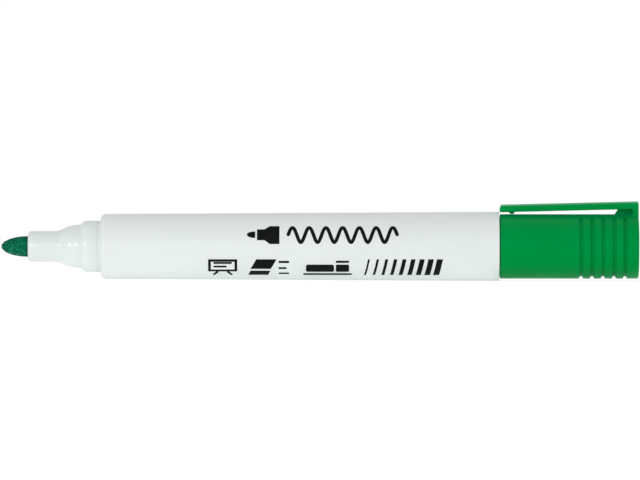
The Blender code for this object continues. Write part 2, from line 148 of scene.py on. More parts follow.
class ShaderBench:
    """A material's node tree, with short calls for the nodes that the finishes share."""

    def __init__(self, name: str) -> None:
        """Starts a material with a Principled shader.

        Args:
            name: The material's name.
        """
        self.material = bpy.data.materials.new(name)
        self.material.use_nodes = True
        self.tree = self.material.node_tree
        self.shader = self.tree.nodes["Principled BSDF"]
        self.coordinates = self.tree.nodes.new("ShaderNodeTexCoord").outputs["Object"]

    def constant(self, **values: float | tuple) -> None:
        """Sets the shader's own sockets, named with underscores for their spaces."""
        for name, value in values.items():
            self.shader.inputs[name.replace("_", " ")].default_value = value

    def placed(self, scale: PerAxis = (1, 1, 1), location: PerAxis = (0, 0, 0)) -> bpy.types.NodeSocket:
        """Object coordinates, stretched and moved.

        Args:
            scale: How many times finer the pattern gets along each axis.
            location: Where the pattern's origin goes, in metres.

        Returns:
            The socket with the placed coordinates.
        """
        mapping = self.tree.nodes.new("ShaderNodeMapping")
        mapping.inputs["Scale"].default_value = scale
        mapping.inputs["Location"].default_value = location
        self.tree.links.new(self.coordinates, mapping.inputs["Vector"])
        return mapping.outputs["Vector"]

    def noise(
        self,
        scale: float,
        detail: float = 2.0,
        vector: bpy.types.NodeSocket | None = None,
        distortion: float = 0.0,
    ) -> bpy.types.NodeSocket:
        """A noise pattern.

        Args:
            scale: Its features in each metre.
            detail: Its octaves.
            vector: The coordinates that it reads, or Object coordinates.
            distortion: How far its features swirl.

        Returns:
            The pattern's value, 0 to 1.
        """
        node = self.tree.nodes.new("ShaderNodeTexNoise")
        node.inputs["Scale"].default_value = scale
        node.inputs["Detail"].default_value = detail
        node.inputs["Distortion"].default_value = distortion
        self.tree.links.new(vector or self.coordinates, node.inputs["Vector"])
        return node.outputs["Fac"]

    def ranged(
        self, value: bpy.types.NodeSocket, start: float, end: float, low: float, high: float
    ) -> bpy.types.NodeSocket:
        """Maps a value to another range, and holds it there beyond the ends.

        Args:
            value: The value.
            start: Where its range starts.
            end: Where its range ends.
            low: What it becomes at the start.
            high: What it becomes at the end.

        Returns:
            The socket with the mapped value.
        """
        node = self.tree.nodes.new("ShaderNodeMapRange")
        for name, number in zip(("From Min", "From Max", "To Min", "To Max"), (start, end, low, high)):
            node.inputs[name].default_value = number
        self.tree.links.new(value, node.inputs["Value"])
        return node.outputs["Result"]

    def sum(self, first: bpy.types.NodeSocket, second: bpy.types.NodeSocket) -> bpy.types.NodeSocket:
        """Adds two values.

        Args:
            first: One value.
            second: The other.

        Returns:
            The socket with their sum.
        """
        node = self.tree.nodes.new("ShaderNodeMath")
        node.operation = "ADD"
        self.tree.links.new(first, node.inputs[0])
        self.tree.links.new(second, node.inputs[1])
        return node.outputs["Value"]

    def mixed(
        self,
        factor: bpy.types.NodeSocket,
        first: Colour | bpy.types.NodeSocket,
        second: Colour,
    ) -> bpy.types.NodeSocket:
        """Blends two colours.

        Args:
            factor: The second colour's share, 0 to 1.
            first: The colour at 0.
            second: The colour at 1.

        Returns:
            The socket with the blend.
        """
        node = self.tree.nodes.new("ShaderNodeMix")
        node.data_type = "RGBA"
        self.tree.links.new(factor, node.inputs["Factor"])
        if isinstance(first, bpy.types.NodeSocket):
            self.tree.links.new(first, node.inputs[6])
        else:
            node.inputs[6].default_value = (*first, 1)
        node.inputs[7].default_value = (*second, 1)
        return node.outputs[2]

    def along_x(self) -> bpy.types.NodeSocket:
        """The distance along the marker.

        Returns:
            The socket with it.
        """
        node = self.tree.nodes.new("ShaderNodeSeparateXYZ")
        self.tree.links.new(self.coordinates, node.inputs[0])
        return node.outputs["X"]

    def paint(self, colour: bpy.types.NodeSocket, roughness: bpy.types.NodeSocket) -> None:
        """Links the shader's colour and roughness."""
        self.tree.links.new(colour, self.shader.inputs["Base Color"])
        self.tree.links.new(roughness, self.shader.inputs["Roughness"])

    def emboss(self, *layers: tuple[bpy.types.NodeSocket, float]) -> None:
        """Stacks bump layers.

        Args:
            *layers: Each layer's height pattern and its depth in metres.
        """
        normal = None
        for height, depth in layers:
            node = self.tree.nodes.new("ShaderNodeBump")
            node.inputs["Strength"].default_value = 1
            node.inputs["Distance"].default_value = depth
            self.tree.links.new(height, node.inputs["Height"])
            if normal:
                self.tree.links.new(normal, node.inputs["Normal"])
            normal = node.outputs["Normal"]
        self.tree.links.new(normal, self.shader.inputs["Normal"])


@dataclass(frozen=True)
class MouldedPlastic:
    """An injection moulding: slight clouding, a fine mould grain, and handling scuffs along X."""

    name: str
    colour: Colour
    cloud: Colour
    roughness: float
    roughness_spread: float = 0.08
    specular: float = 0.5
    sheen: float = 0.0
    sheen_roughness: float = 0.35
    sheen_tint: Colour = (1.0, 1.0, 1.0)
    glint: Colour = (1.0, 1.0, 1.0)
    subsurface: float = 0.0
    scatter: Colour = (1.0, 1.0, 1.0)
    scatter_depth: float = 1.0 * MM
    clouds_per_metre: float = 90
    smears_per_metre: float = 240
    grains_per_metre: float = 9500
    grain_depth: float = 0.5 * MICRON
    ripples_per_metre: PerAxis = (35, 260, 260)
    ripple_depth: float = 5.0 * MICRON
    scuffs_per_metre: PerAxis = (160, 5200, 5200)
    scuff_share: float = 0.12

    def material(self) -> bpy.types.Material:
        """Builds the material.

        Returns:
            The material.
        """
        bench = ShaderBench(self.name)
        clouds = bench.ranged(bench.noise(self.clouds_per_metre, 3), 0.35, 0.7, 0, 1)
        ripples = bench.noise(1, 2, bench.placed(self.ripples_per_metre))
        scuffs = bench.noise(1, 3, bench.placed(self.scuffs_per_metre))
        streaks = bench.ranged(scuffs, 0.62, 0.74, 0, self.scuff_share)
        handled = bench.noise(self.smears_per_metre, 4, distortion=0.8)
        smears = bench.ranged(handled, 0.3, 0.75, 0, self.roughness_spread)
        base = self.roughness - self.roughness_spread / 2
        rough = bench.sum(bench.ranged(smears, 0, 1, base, base + 1), streaks)
        bench.paint(bench.mixed(clouds, self.colour, self.cloud), rough)
        grain = bench.noise(self.grains_per_metre, 2)
        bench.emboss((ripples, self.ripple_depth), (grain, self.grain_depth))
        bench.constant(
            Specular_IOR_Level=self.specular,
            Specular_Tint=(*self.glint, 1),
            Subsurface_Weight=self.subsurface,
            Subsurface_Radius=self.scatter,
            Subsurface_Scale=self.scatter_depth,
            Sheen_Weight=self.sheen,
            Sheen_Roughness=self.sheen_roughness,
            Sheen_Tint=(*self.sheen_tint, 1),
        )
        return bench.material


@dataclass(frozen=True)
class InkedFibre:
    """Bundled fibre soaked in ink: strands, wetter and drier patches, and painted shade darkening it
    where it meets a node.
    """

    name: str
    wet: Colour
    dry: Colour
    strand: Colour
    strands_per_metre: float
    roughness: float
    strand_depth: float
    patches_per_metre: float = 950
    nap_per_metre: float = 7000
    shaded_by: str = ""
    painted_shade: Colour = (0.0, 0.0, 0.0)
    shade_length: float = 0.45 * MM
    shade_share: float = 0.75
    specular: float = 0.2
    glint: Colour = (0.1, 1.0, 0.7)

    def material(self) -> bpy.types.Material:
        """Builds the material.

        Returns:
            The material.
        """
        bench = ShaderBench(self.name)
        patches = bench.ranged(bench.noise(self.patches_per_metre, 2, distortion=1.5), 0.42, 0.68, 0, 1)
        across = self.strands_per_metre
        strands = bench.noise(1, 3, bench.placed((across / 4, across, across)), 1.6)
        light = bench.ranged(strands, 0.56, 0.72, 0, 0.5)
        colour = bench.mixed(light, bench.mixed(patches, self.wet, self.dry), self.strand)
        # Painted shade: a darker band on the felt just ahead of the node's front, where the holder
        # shades it.
        if self.shaded_by:
            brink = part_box(self.shaded_by)[0].x
            shade_mask = bench.ranged(bench.along_x(), brink - self.shade_length, brink, 0, self.shade_share)
            colour = bench.mixed(shade_mask, colour, self.painted_shade)
        rough = bench.ranged(strands, 0.3, 0.7, self.roughness - 0.15, self.roughness + 0.1)
        bench.paint(colour, rough)
        nap = bench.noise(self.nap_per_metre, 2)
        bench.emboss((strands, self.strand_depth), (nap, self.strand_depth / 3))
        bench.constant(Specular_IOR_Level=self.specular, Specular_Tint=(*self.glint, 1))
        return bench.material


@dataclass(frozen=True)
class PadInk:
    """Printed ink: a thin opaque film with a faint screen texture and worn spots."""

    name: str
    colour: Colour
    worn: Colour
    roughness: float
    specular: float = 0.1
    worn_spots_per_metre: float = 1800
    screen_per_metre: float = 6000
    screen_depth: float = 1.5 * MICRON

    def material(self) -> bpy.types.Material:
        """Builds the material.

        Returns:
            The material.
        """
        bench = ShaderBench(self.name)
        wear = bench.ranged(bench.noise(self.worn_spots_per_metre, 4), 0.66, 0.8, 0, 0.6)
        screen = bench.noise(self.screen_per_metre, 2)
        rough = bench.ranged(screen, 0.3, 0.7, self.roughness - 0.06, self.roughness + 0.08)
        bench.paint(bench.mixed(wear, self.colour, self.worn), rough)
        bench.emboss((screen, self.screen_depth))
        bench.constant(Specular_IOR_Level=self.specular)
        return bench.material


@dataclass(frozen=True)
class ClearFilm:
    """A thin clear film with wrinkles along its length."""

    name: str
    colour: Colour
    haze: Colour
    roughness: float
    wrinkles_per_metre: PerAxis = (120, 1400, 1400)
    wrinkle_depth: float = 25 * MICRON

    def material(self) -> bpy.types.Material:
        """Builds the material.

        Returns:
            The material.
        """
        bench = ShaderBench(self.name)
        wrinkles = bench.noise(1, 3, bench.placed(self.wrinkles_per_metre), 0.6)
        hazed = bench.ranged(wrinkles, 0.4, 0.7, 0, 0.5)
        rough = bench.ranged(wrinkles, 0.3, 0.7, self.roughness, self.roughness + 0.2)
        bench.paint(bench.mixed(hazed, self.colour, self.haze), rough)
        bench.emboss((wrinkles, self.wrinkle_depth))
        bench.constant(Transmission_Weight=0.85, IOR=1.49)
        return bench.material


@dataclass(frozen=True)
class StudioSweep:
    """The pale floor: matt, evenly lit for the eye, with the faintest mottle."""

    name: str
    shade: float
    glow: float
    seen_glow: float

    def material(self) -> bpy.types.Material:
        """Builds the material.

        Returns:
            The material.
        """
        bench = ShaderBench(self.name)
        mottle = bench.ranged(bench.noise(30, 3), 0.3, 0.7, 0, 1)
        pale = (self.shade,) * 3
        paler = (min(self.shade * 1.03, 1),) * 3
        bench.paint(bench.mixed(mottle, pale, paler), bench.ranged(mottle, 0, 1, 0.85, 0.95))
        bench.constant(Specular_IOR_Level=0.0, Emission_Color=(1, 1, 1, 1))
        seen = bench.tree.nodes.new("ShaderNodeLightPath").outputs["Is Camera Ray"]
        glow = bench.ranged(seen, 0, 1, self.glow, self.seen_glow)
        bench.tree.links.new(glow, bench.shader.inputs["Emission Strength"])
        return bench.material


class Finish(Enum):
    """The marker's finishes."""

    WHITE = MouldedPlastic(
        "satin_white_plastic", linear(232, 238, 236), linear(229, 235, 233),
        roughness=0.4, subsurface=0.12,
    )
    NOSE = MouldedPlastic(
        "nose_plastic", linear(231, 238, 236), linear(226, 234, 232),
        roughness=0.2, roughness_spread=0.05, subsurface=0.25, scatter_depth=1.6 * MM,
        ripple_depth=2 * MICRON, scuff_share=0.05,
    )
    GREEN = MouldedPlastic(
        "green_plastic", linear(0, 144, 64), linear(0, 138, 60),
        roughness=0.27, specular=0.16, sheen=0.4, sheen_tint=(0.0, 1.0, 0.55), glint=(0.0, 1.0, 0.4),
        scuff_share=0.08,
    )
    LINER = MouldedPlastic(
        "liner_plastic", linear(236, 238, 235), linear(226, 230, 226),
        roughness=0.45, subsurface=0.35, scatter_depth=2.0 * MM,
    )
    FELT = InkedFibre(
        "inked_felt", linear(0, 92, 59), linear(26, 131, 99), linear(60, 148, 119),
        strands_per_metre=5200, roughness=0.75, strand_depth=22 * MICRON,
        # painted shade on the felt where it meets the nib holder
        shaded_by="nib_holder", painted_shade=linear(2, 48, 33),
    )
    FUZZ = InkedFibre(
        "felt_fibres", linear(0, 60, 42), linear(8, 84, 62), linear(30, 110, 84),
        strands_per_metre=5200, roughness=0.7, strand_depth=6 * MICRON,
    )
    RESERVOIR = InkedFibre(
        "inked_fibre", linear(0, 96, 58), linear(0, 122, 70), linear(60, 170, 120),
        strands_per_metre=3800, roughness=0.85, strand_depth=40 * MICRON,
    )
    FILM = ClearFilm("clear_film", (0.8, 0.86, 0.83), haze=(0.9, 0.95, 0.92), roughness=0.12)
    INK = PadInk("black_print", (0.003, 0.004, 0.004), worn=(0.02, 0.02, 0.02), roughness=0.45)


class Paintbox:
    """Makes each finish's material once."""

    def __init__(self) -> None:
        """Starts with no material made."""
        self.made: dict[Finish, bpy.types.Material] = {}

    def get(self, finish: Finish) -> bpy.types.Material:
        """Gives a finish's material, and makes it first if it has to.

        Args:
            finish: The finish.

        Returns:
            Its material.
        """
        if finish not in self.made:
            self.made[finish] = finish.value.material()
        return self.made[finish]


# ---------------------------------------------------------------------------
# Mesh work
# ---------------------------------------------------------------------------


def new_object(name: str, mesh: bpy.types.Mesh) -> bpy.types.Object:
    """Links a new object to the scene.

    Args:
        name: Its name.
        mesh: Its mesh.

    Returns:
        The object.
    """
    made = bpy.data.objects.new(name, mesh)
    bpy.context.scene.collection.objects.link(made)
    return made


def tidied(mesh: bpy.types.Mesh, smooth_angle: float = SMOOTH_ANGLE) -> bpy.types.Mesh:
    """Closes a mesh's seams, points its faces out and shades its curved stretches smooth.

    Args:
        mesh: The mesh to change.
        smooth_angle: The sharpest bend that still looks smooth, in radians.

    Returns:
        The same mesh.
    """
    shape = bmesh.new()
    shape.from_mesh(mesh)
    bmesh.ops.remove_doubles(shape, verts=shape.verts, dist=0.5 * MICRON)
    bmesh.ops.recalc_face_normals(shape, faces=shape.faces)
    shape.to_mesh(mesh)
    shape.free()
    mesh.shade_smooth()
    mesh.set_sharp_from_angle(angle=smooth_angle)
    return mesh


def evaluated_mesh(source: bpy.types.Object, name: str) -> bpy.types.Mesh:
    """Works out an object's modifiers.

    Args:
        source: The object.
        name: The new mesh's name.

    Returns:
        The plain mesh.
    """
    bpy.context.view_layer.update()
    graph = bpy.context.evaluated_depsgraph_get()
    mesh = bpy.data.meshes.new_from_object(source.evaluated_get(graph))
    mesh.name = name
    return mesh


@dataclass(frozen=True)
class Corner:
    """A corner of an outline, with the radius that rounds it off."""

    x: float
    r: float
    fillet: float = 0.0
    steps: int = 6


def rounded(corners: list[Corner], closed: bool = True) -> list[Point]:
    """Turns corners into an outline's points.

    Args:
        corners: The corners in order.
        closed: Whether the last corner joins the first.

    Returns:
        The points, with an arc at each corner that has a fillet.
    """
    count = len(corners)
    points: list[Point] = []
    for index, corner in enumerate(corners):
        at = Vector((corner.x, corner.r))
        if corner.fillet == 0 or (not closed and index in (0, count - 1)):
            points.append((corner.x, corner.r))
            continue
        before, after = corners[index - 1], corners[(index + 1) % count]
        back = (Vector((before.x, before.r)) - at).normalized()
        on = (Vector((after.x, after.r)) - at).normalized()
        half_angle = back.angle(on) / 2
        reach = corner.fillet / math.tan(half_angle)
        centre = at + (back + on).normalized() * corner.fillet / math.sin(half_angle)
        first, last = at + back * reach - centre, at + on * reach - centre
        sweep = first.angle(last)
        for step in range(corner.steps + 1):
            share = step / corner.steps
            arm = (
                first * math.sin((1 - share) * sweep) + last * math.sin(share * sweep)
            ) / math.sin(sweep)
            points.append(tuple(centre + arm))
    return points


class Recipe:
    """A Geometry Nodes tree being built: named inputs, then nodes, then an ending."""

    SOCKETS = {
        "object": "NodeSocketObject",
        "material": "NodeSocketMaterial",
        "integer": "NodeSocketInt",
        "number": "NodeSocketFloat",
        "geometry": "NodeSocketGeometry",
    }

    def __init__(self, name: str, **inputs: str) -> None:
        """Starts a tree with these inputs.

        Args:
            name: The tree's name.
            **inputs: Each input's kind, one of the keys of SOCKETS.
        """
        self.tree = bpy.data.node_groups.new(name, "GeometryNodeTree")
        self.tree.is_modifier = True
        self.identifiers: dict[str, str] = {}
        for label, kind in inputs.items():
            kind_of_socket = self.SOCKETS[kind]
            socket = self.tree.interface.new_socket(label, in_out="INPUT", socket_type=kind_of_socket)
            self.identifiers[label] = socket.identifier
        self.tree.interface.new_socket("result", in_out="OUTPUT", socket_type="NodeSocketGeometry")
        self.given = self.tree.nodes.new("NodeGroupInput").outputs

    def add(self, kind: str, *values: object, **settings: object) -> bpy.types.Node:
        """Adds a node.

        Args:
            kind: The node's type.
            *values: What its usable inputs take, in order; None leaves one alone.
            **settings: The node's own properties.

        Returns:
            The node.
        """
        node = self.tree.nodes.new(kind)
        for label, setting in settings.items():
            setattr(node, label, setting)
        usable = [socket for socket in node.inputs if socket.enabled]
        for socket, value in zip(usable, values):
            if isinstance(value, bpy.types.NodeSocket):
                self.tree.links.new(value, socket)
            elif value is not None:
                socket.default_value = value
        return node

    def out(self, kind: str, *values: object, **settings: object) -> bpy.types.NodeSocket:
        """Adds a node and returns its first usable output."""
        node = self.add(kind, *values, **settings)
        return next(socket for socket in node.outputs if socket.enabled)

    def math(self, operation: str, first: object, second: object = None) -> bpy.types.NodeSocket:
        """The result of one sum."""
        return self.out("ShaderNodeMath", first, second, operation=operation)

    def finish(self, geometry: bpy.types.NodeSocket) -> None:
        """Ends the tree: real meshes, then the material.

        Args:
            geometry: What the tree has made.
        """
        real = self.out("GeometryNodeRealizeInstances", geometry)
        painted = self.out("GeometryNodeSetMaterial", real, None, self.given["finish"])
        self.add("NodeGroupOutput", painted)

    def run(self, name: str, base: bpy.types.Mesh | None = None, **inputs: object) -> bpy.types.Mesh:
        """Runs the tree once.

        Args:
            name: The name of the mesh that it makes.
            base: The mesh that it works on, if it takes one.
            **inputs: A value for each named input.

        Returns:
            The plain mesh.
        """
        carrier = new_object(f"{name}_carrier", base or bpy.data.meshes.new(name))
        modifier = carrier.modifiers.new("recipe", "NODES")
        modifier.node_group = self.tree
        for label, value in inputs.items():
            modifier[self.identifiers[label]] = value
        mesh = evaluated_mesh(carrier, name)
        carrier.modifiers.remove(modifier)
        bpy.data.objects.remove(carrier)
        return mesh


class TurnedBody:
    """The tree for round mouldings: it turns an outline about the marker's axis."""

    FACETS = 160

    def __init__(self, axis_height: float) -> None:
        """Builds the tree.

        Args:
            axis_height: The height of the marker's axis.
        """
        self.axis_height = axis_height
        recipe = Recipe(
            "turned_body", outline="object", facets="integer", axis_height="number", finish="material"
        )
        given = recipe.given
        outline = recipe.add("GeometryNodeObjectInfo", given["outline"]).outputs["Geometry"]
        count = recipe.out("GeometryNodeAttributeDomainSize", outline)
        last = recipe.math("SUBTRACT", count, 1.0)
        columns = recipe.math("ADD", given["facets"], 1.0)
        grid = recipe.out("GeometryNodeMeshGrid", 1.0, 1.0, count, columns)
        position = recipe.out("GeometryNodeInputPosition")
        split = recipe.add("ShaderNodeSeparateXYZ", position)
        along = recipe.math("ADD", split.outputs["X"], 0.5)
        around = recipe.math("ADD", split.outputs["Y"], 0.5)
        index = recipe.math("ROUND", recipe.math("MULTIPLY", along, last))
        angle = recipe.math("MULTIPLY", around, math.tau)
        point = recipe.out("GeometryNodeSampleIndex", outline, position, index, data_type="FLOAT_VECTOR")
        turned = recipe.out("ShaderNodeVectorRotate", point, None, angle, rotation_type="X_AXIS")
        lift = recipe.out("ShaderNodeCombineXYZ", None, None, given["axis_height"])
        raised = recipe.out("ShaderNodeVectorMath", turned, lift, operation="ADD")
        placed = recipe.out("GeometryNodeSetPosition", grid, None, raised)
        recipe.finish(recipe.out("GeometryNodeMergeByDistance", placed, None, MICRON))
        self.recipe = recipe

    def make(
        self,
        name: str,
        outline: list[Point],
        finish: bpy.types.Material,
        closed: bool = True,
        facets: int = FACETS,
    ) -> bpy.types.Mesh:
        """Turns an outline into a closed body.

        Args:
            name: The mesh's name.
            outline: Its points, as distance along X and radius.
            finish: Its material.
            closed: Whether the outline closes on itself; if not, its ends lie on the axis.
            facets: How many facets go round the axis.

        Returns:
            The body's mesh, in place.
        """
        points = outline + outline[:1] if closed else outline
        mesh = bpy.data.meshes.new(f"{name}_outline")
        mesh.from_pydata([(x, 0, r) for x, r in points], [], [])
        guide = new_object(f"{name}_outline", mesh)
        made = self.recipe.run(
            name, outline=guide, facets=facets, axis_height=self.axis_height, finish=finish
        )
        bpy.data.objects.remove(guide)
        return tidied(made)


class RingOfItems:
    """The tree that sets copies of one item round the marker's axis, such as ribs."""

    def __init__(self, axis_height: float) -> None:
        """Builds the tree.

        Args:
            axis_height: The height of the marker's axis.
        """
        self.axis_height = axis_height
        recipe = Recipe(
            "ring_of_items",
            item="object", count="integer", first_turn="number",
            axis_height="number", finish="material",
        )
        given = recipe.given
        item = recipe.add("GeometryNodeObjectInfo", given["item"], True).outputs["Geometry"]
        centre = recipe.out("ShaderNodeCombineXYZ", None, None, given["axis_height"])
        points = recipe.out("GeometryNodePoints", given["count"], centre)
        place = recipe.out("GeometryNodeInputIndex")
        step = recipe.math("DIVIDE", math.tau, given["count"])
        turn = recipe.math("ADD", recipe.math("MULTIPLY", place, step), given["first_turn"])
        angles = recipe.out("ShaderNodeCombineXYZ", turn)
        facing = recipe.out("FunctionNodeEulerToRotation", angles)
        recipe.finish(
            recipe.out("GeometryNodeInstanceOnPoints", points, None, item, None, None, facing)
        )
        self.recipe = recipe

    def make(
        self,
        name: str,
        item: bpy.types.Mesh,
        count: int,
        finish: bpy.types.Material,
        first_turn: float = 0.0,
    ) -> bpy.types.Mesh:
        """Sets the items round the axis.

        Args:
            name: The mesh's name.
            item: One item, modelled above an axis at the origin.
            count: How many there are.
            finish: Their material.
            first_turn: The first one's turn from the top, in radians.

        Returns:
            One mesh with every item.
        """
        guide = new_object(f"{name}_item", item)
        made = self.recipe.run(
            name, item=guide, count=count, first_turn=first_turn,
            axis_height=self.axis_height, finish=finish,
        )
        bpy.data.objects.remove(guide)
        return tidied(made)


class FeltFuzz:
    """The tree that lays short curved fibres on the felt nib."""

    SEED = 11
    BEND = math.radians(70)
    BEND_POINTS = 6
    SIDES = 4
    SUNK_SHARE = 0.9
    SIZES = (0.5, 1.2)

    def __init__(self) -> None:
        """Builds the tree."""
        recipe = Recipe(
            "felt_fuzz",
            nib="geometry", density="number", length="number", thickness="number",
            seed="integer", finish="material",
        )
        given = recipe.given
        scatter = recipe.add(
            "GeometryNodeDistributePointsOnFaces", given["nib"], None, given["density"], given["seed"]
        )
        bend = recipe.out(
            "GeometryNodeCurveArc", self.BEND_POINTS, given["length"], 0.0, self.BEND, mode="RADIUS"
        )
        section = recipe.out("GeometryNodeCurvePrimitiveCircle", self.SIDES, given["thickness"])
        fibre = recipe.out("GeometryNodeCurveToMesh", bend, section, None, True)
        sunk = recipe.math("MULTIPLY", given["length"], -self.SUNK_SHARE)
        fibre = recipe.out("GeometryNodeTransform", fibre, recipe.out("ShaderNodeCombineXYZ", sunk))
        spin = recipe.out("FunctionNodeRandomValue", 0.0, math.tau, None, 3, data_type="FLOAT")
        angles = recipe.out("ShaderNodeCombineXYZ", None, None, spin)
        spun = recipe.out("FunctionNodeEulerToRotation", angles)
        facing = recipe.out(
            "FunctionNodeRotateRotation", scatter.outputs["Rotation"], spun, rotation_space="LOCAL"
        )
        size = recipe.out("FunctionNodeRandomValue", *self.SIZES, None, 5, data_type="FLOAT")
        placed = recipe.out(
            "GeometryNodeInstanceOnPoints",
            scatter.outputs["Points"], None, fibre, None, None, facing, size,
        )
        recipe.finish(placed)
        self.recipe = recipe

    def make(
        self,
        name: str,
        nib: bpy.types.Mesh,
        density: float,
        length: float,
        thickness: float,
        finish: bpy.types.Material,
    ) -> bpy.types.Mesh:
        """Lays the fibres.

        Args:
            name: The mesh's name.
            nib: The surface that they lie on.
            density: Fibres in each square metre.
            length: A fibre's bending radius, which sets its length.
            thickness: A fibre's radius.
            finish: Their material.

        Returns:
            One mesh with every fibre.
        """
        made = self.recipe.run(
            name, base=nib, density=density, length=length, thickness=thickness,
            seed=self.SEED, finish=finish,
        )
        return tidied(made, math.pi)


class BarrelWrap:
    """The tree that rolls a flat print onto the tapered barrel.

    On the flat sheet, X is the distance along the marker, Y the distance up round the
    barrel from the side that faces the reader, and Z the height above its surface.
    """

    def __init__(self, axis_height: float, front: Point, rear: Point) -> None:
        """Builds the tree.

        Args:
            axis_height: The height of the marker's axis.
            front: A point of the barrel's side, as distance along X and radius.
            rear: Another, further along.
        """
        self.sizes = {
            "axis_height": axis_height,
            "front_place": front[0],
            "front_radius": front[1],
            "rear_place": rear[0],
            "rear_radius": rear[1],
        }
        kinds = {label: "number" for label in self.sizes}
        recipe = Recipe("barrel_wrap", sheet="geometry", **kinds, finish="material")
        given = recipe.given
        split = recipe.add("ShaderNodeSeparateXYZ", recipe.out("GeometryNodeInputPosition"))
        radius = recipe.out(
            "ShaderNodeMapRange", split.outputs["X"], given["front_place"], given["rear_place"],
            given["front_radius"], given["rear_radius"], clamp=False,
        )
        angle = recipe.math("DIVIDE", split.outputs["Y"], radius)
        reach = recipe.math("ADD", radius, split.outputs["Z"])
        outward = recipe.math("MULTIPLY", reach, recipe.math("COSINE", angle))
        upward = recipe.math("MULTIPLY", reach, recipe.math("SINE", angle))
        wrapped = recipe.out(
            "ShaderNodeCombineXYZ",
            split.outputs["X"],
            recipe.math("MULTIPLY", outward, -1.0),
            recipe.math("ADD", upward, given["axis_height"]),
        )
        recipe.finish(recipe.out("GeometryNodeSetPosition", given["sheet"], None, wrapped))
        self.recipe = recipe

    def make(self, name: str, sheet: bpy.types.Mesh, finish: bpy.types.Material) -> bpy.types.Mesh:
        """Rolls a flat print onto the barrel."""
        return tidied(self.recipe.run(name, base=sheet, **self.sizes, finish=finish))


def side_plate(
    name: str,
    outline: list[Point],
    half_width: float,
    edge: float,
    crown: dict[int, float] | None = None,
    stations: int = 10,
    edge_steps: int = 4,
) -> bpy.types.Mesh:
    """A plate drawn from the side, as wide as asked along Y, with rounded edges.

    Args:
        name: The mesh's name.
        outline: The side view's points, as distance along X and height.
        half_width: Half its width along Y.
        edge: The radius that rounds its long edges.
        crown: How far each point, by its number, rises at mid-width above its side's height.
        stations: How many sections cross the flat of its width.
        edge_steps: How many sections round each edge.

    Returns:
        The plate's mesh.
    """
    crown = crown or {}
    count = len(outline)
    turns = sum(
        outline[index][0] * outline[(index + 1) % count][1]
        - outline[(index + 1) % count][0] * outline[index][1]
        for index in range(count)
    )
    inward: list[Vector] = []
    for index in range(count):
        before, at, after = (Vector(outline[(index + shift) % count]) for shift in (-1, 0, 1))
        first, second = (at - before).normalized(), (after - at).normalized()
        along = (first + second).normalized()
        normal = Vector((-along.y, along.x)) * (1 if turns > 0 else -1)
        share = max(0.5, math.cos(first.angle(second) / 2))
        inward.append(normal / share)
    sections: list[tuple[float, float]] = []
    for step in reversed(range(edge_steps + 1)):
        angle = math.pi / 2 * step / edge_steps
        sections.append((-half_width + edge * (1 - math.sin(angle)), edge * (1 - math.cos(angle))))
    flat = half_width - edge
    middle = [(-flat + 2 * flat * step / stations, 0.0) for step in range(1, stations)]
    ordered = sections + middle + [(-place, inset) for place, inset in reversed(sections)]
    shape = bmesh.new()
    rings = []
    for place, inset in ordered:
        swell = 1 - (place / half_width) ** 2
        ring = []
        for index, (x, z) in enumerate(outline):
            moved = Vector((x, z)) + inward[index] * inset
            ring.append(shape.verts.new((moved.x, place, moved.y + crown.get(index, 0.0) * swell)))
        rings.append(ring)
    for near, far in zip(rings, rings[1:]):
        for index in range(count):
            after = (index + 1) % count
            shape.faces.new((near[index], near[after], far[after], far[index]))
    for ring in (rings[0], rings[-1]):
        shape.faces.new(ring)
    mesh = bpy.data.meshes.new(name)
    shape.to_mesh(mesh)
    shape.free()
    return mesh


def united(name: str, meshes: list[bpy.types.Mesh]) -> bpy.types.Mesh:
    """Joins shapes that reach into each other.

    Args:
        name: The new mesh's name.
        meshes: The shapes.

    Returns:
        One closed mesh.
    """
    first = new_object(name, meshes[0])
    helpers = [new_object(f"{name}_part", mesh) for mesh in meshes[1:]]
    for helper in helpers:
        union = first.modifiers.new(helper.name, "BOOLEAN")
        union.operation = "UNION"
        union.solver = "EXACT"
        union.object = helper
    made = evaluated_mesh(first, name)
    for used in (first, *helpers):
        bpy.data.objects.remove(used)
    return made


# ---------------------------------------------------------------------------
# The marker
# ---------------------------------------------------------------------------


@dataclass
class Workshop:
    """What every sub-assembly is given: the datums, the finishes and the shared trees."""

    datums: Datums
    paints: Paintbox
    turning: TurnedBody
    rings: RingOfItems

    def piece(
        self, name: str, mesh: bpy.types.Mesh, finish: Finish, body: str, slot: str, *nodes: str
    ) -> bpy.types.Object:
        """Makes a finished piece of a mesh.

        Args:
            name: The piece's name.
            mesh: Its mesh, in place.
            finish: Its finish.
            body: The body that it rides on.
            slot: A material slot of the record; not used.
            *nodes: The nodes of the frame that it stands for.

        Returns:
            The piece's object.
        """
        mesh.materials.clear()
        mesh.materials.append(self.paints.get(finish))
        made = new_object(name, mesh)
        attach(made, body)
        if nodes:
            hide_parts(*nodes)
        log.info("%s: %d faces on %s, in %s", name, len(mesh.polygons), body, finish.value.name)
        return made


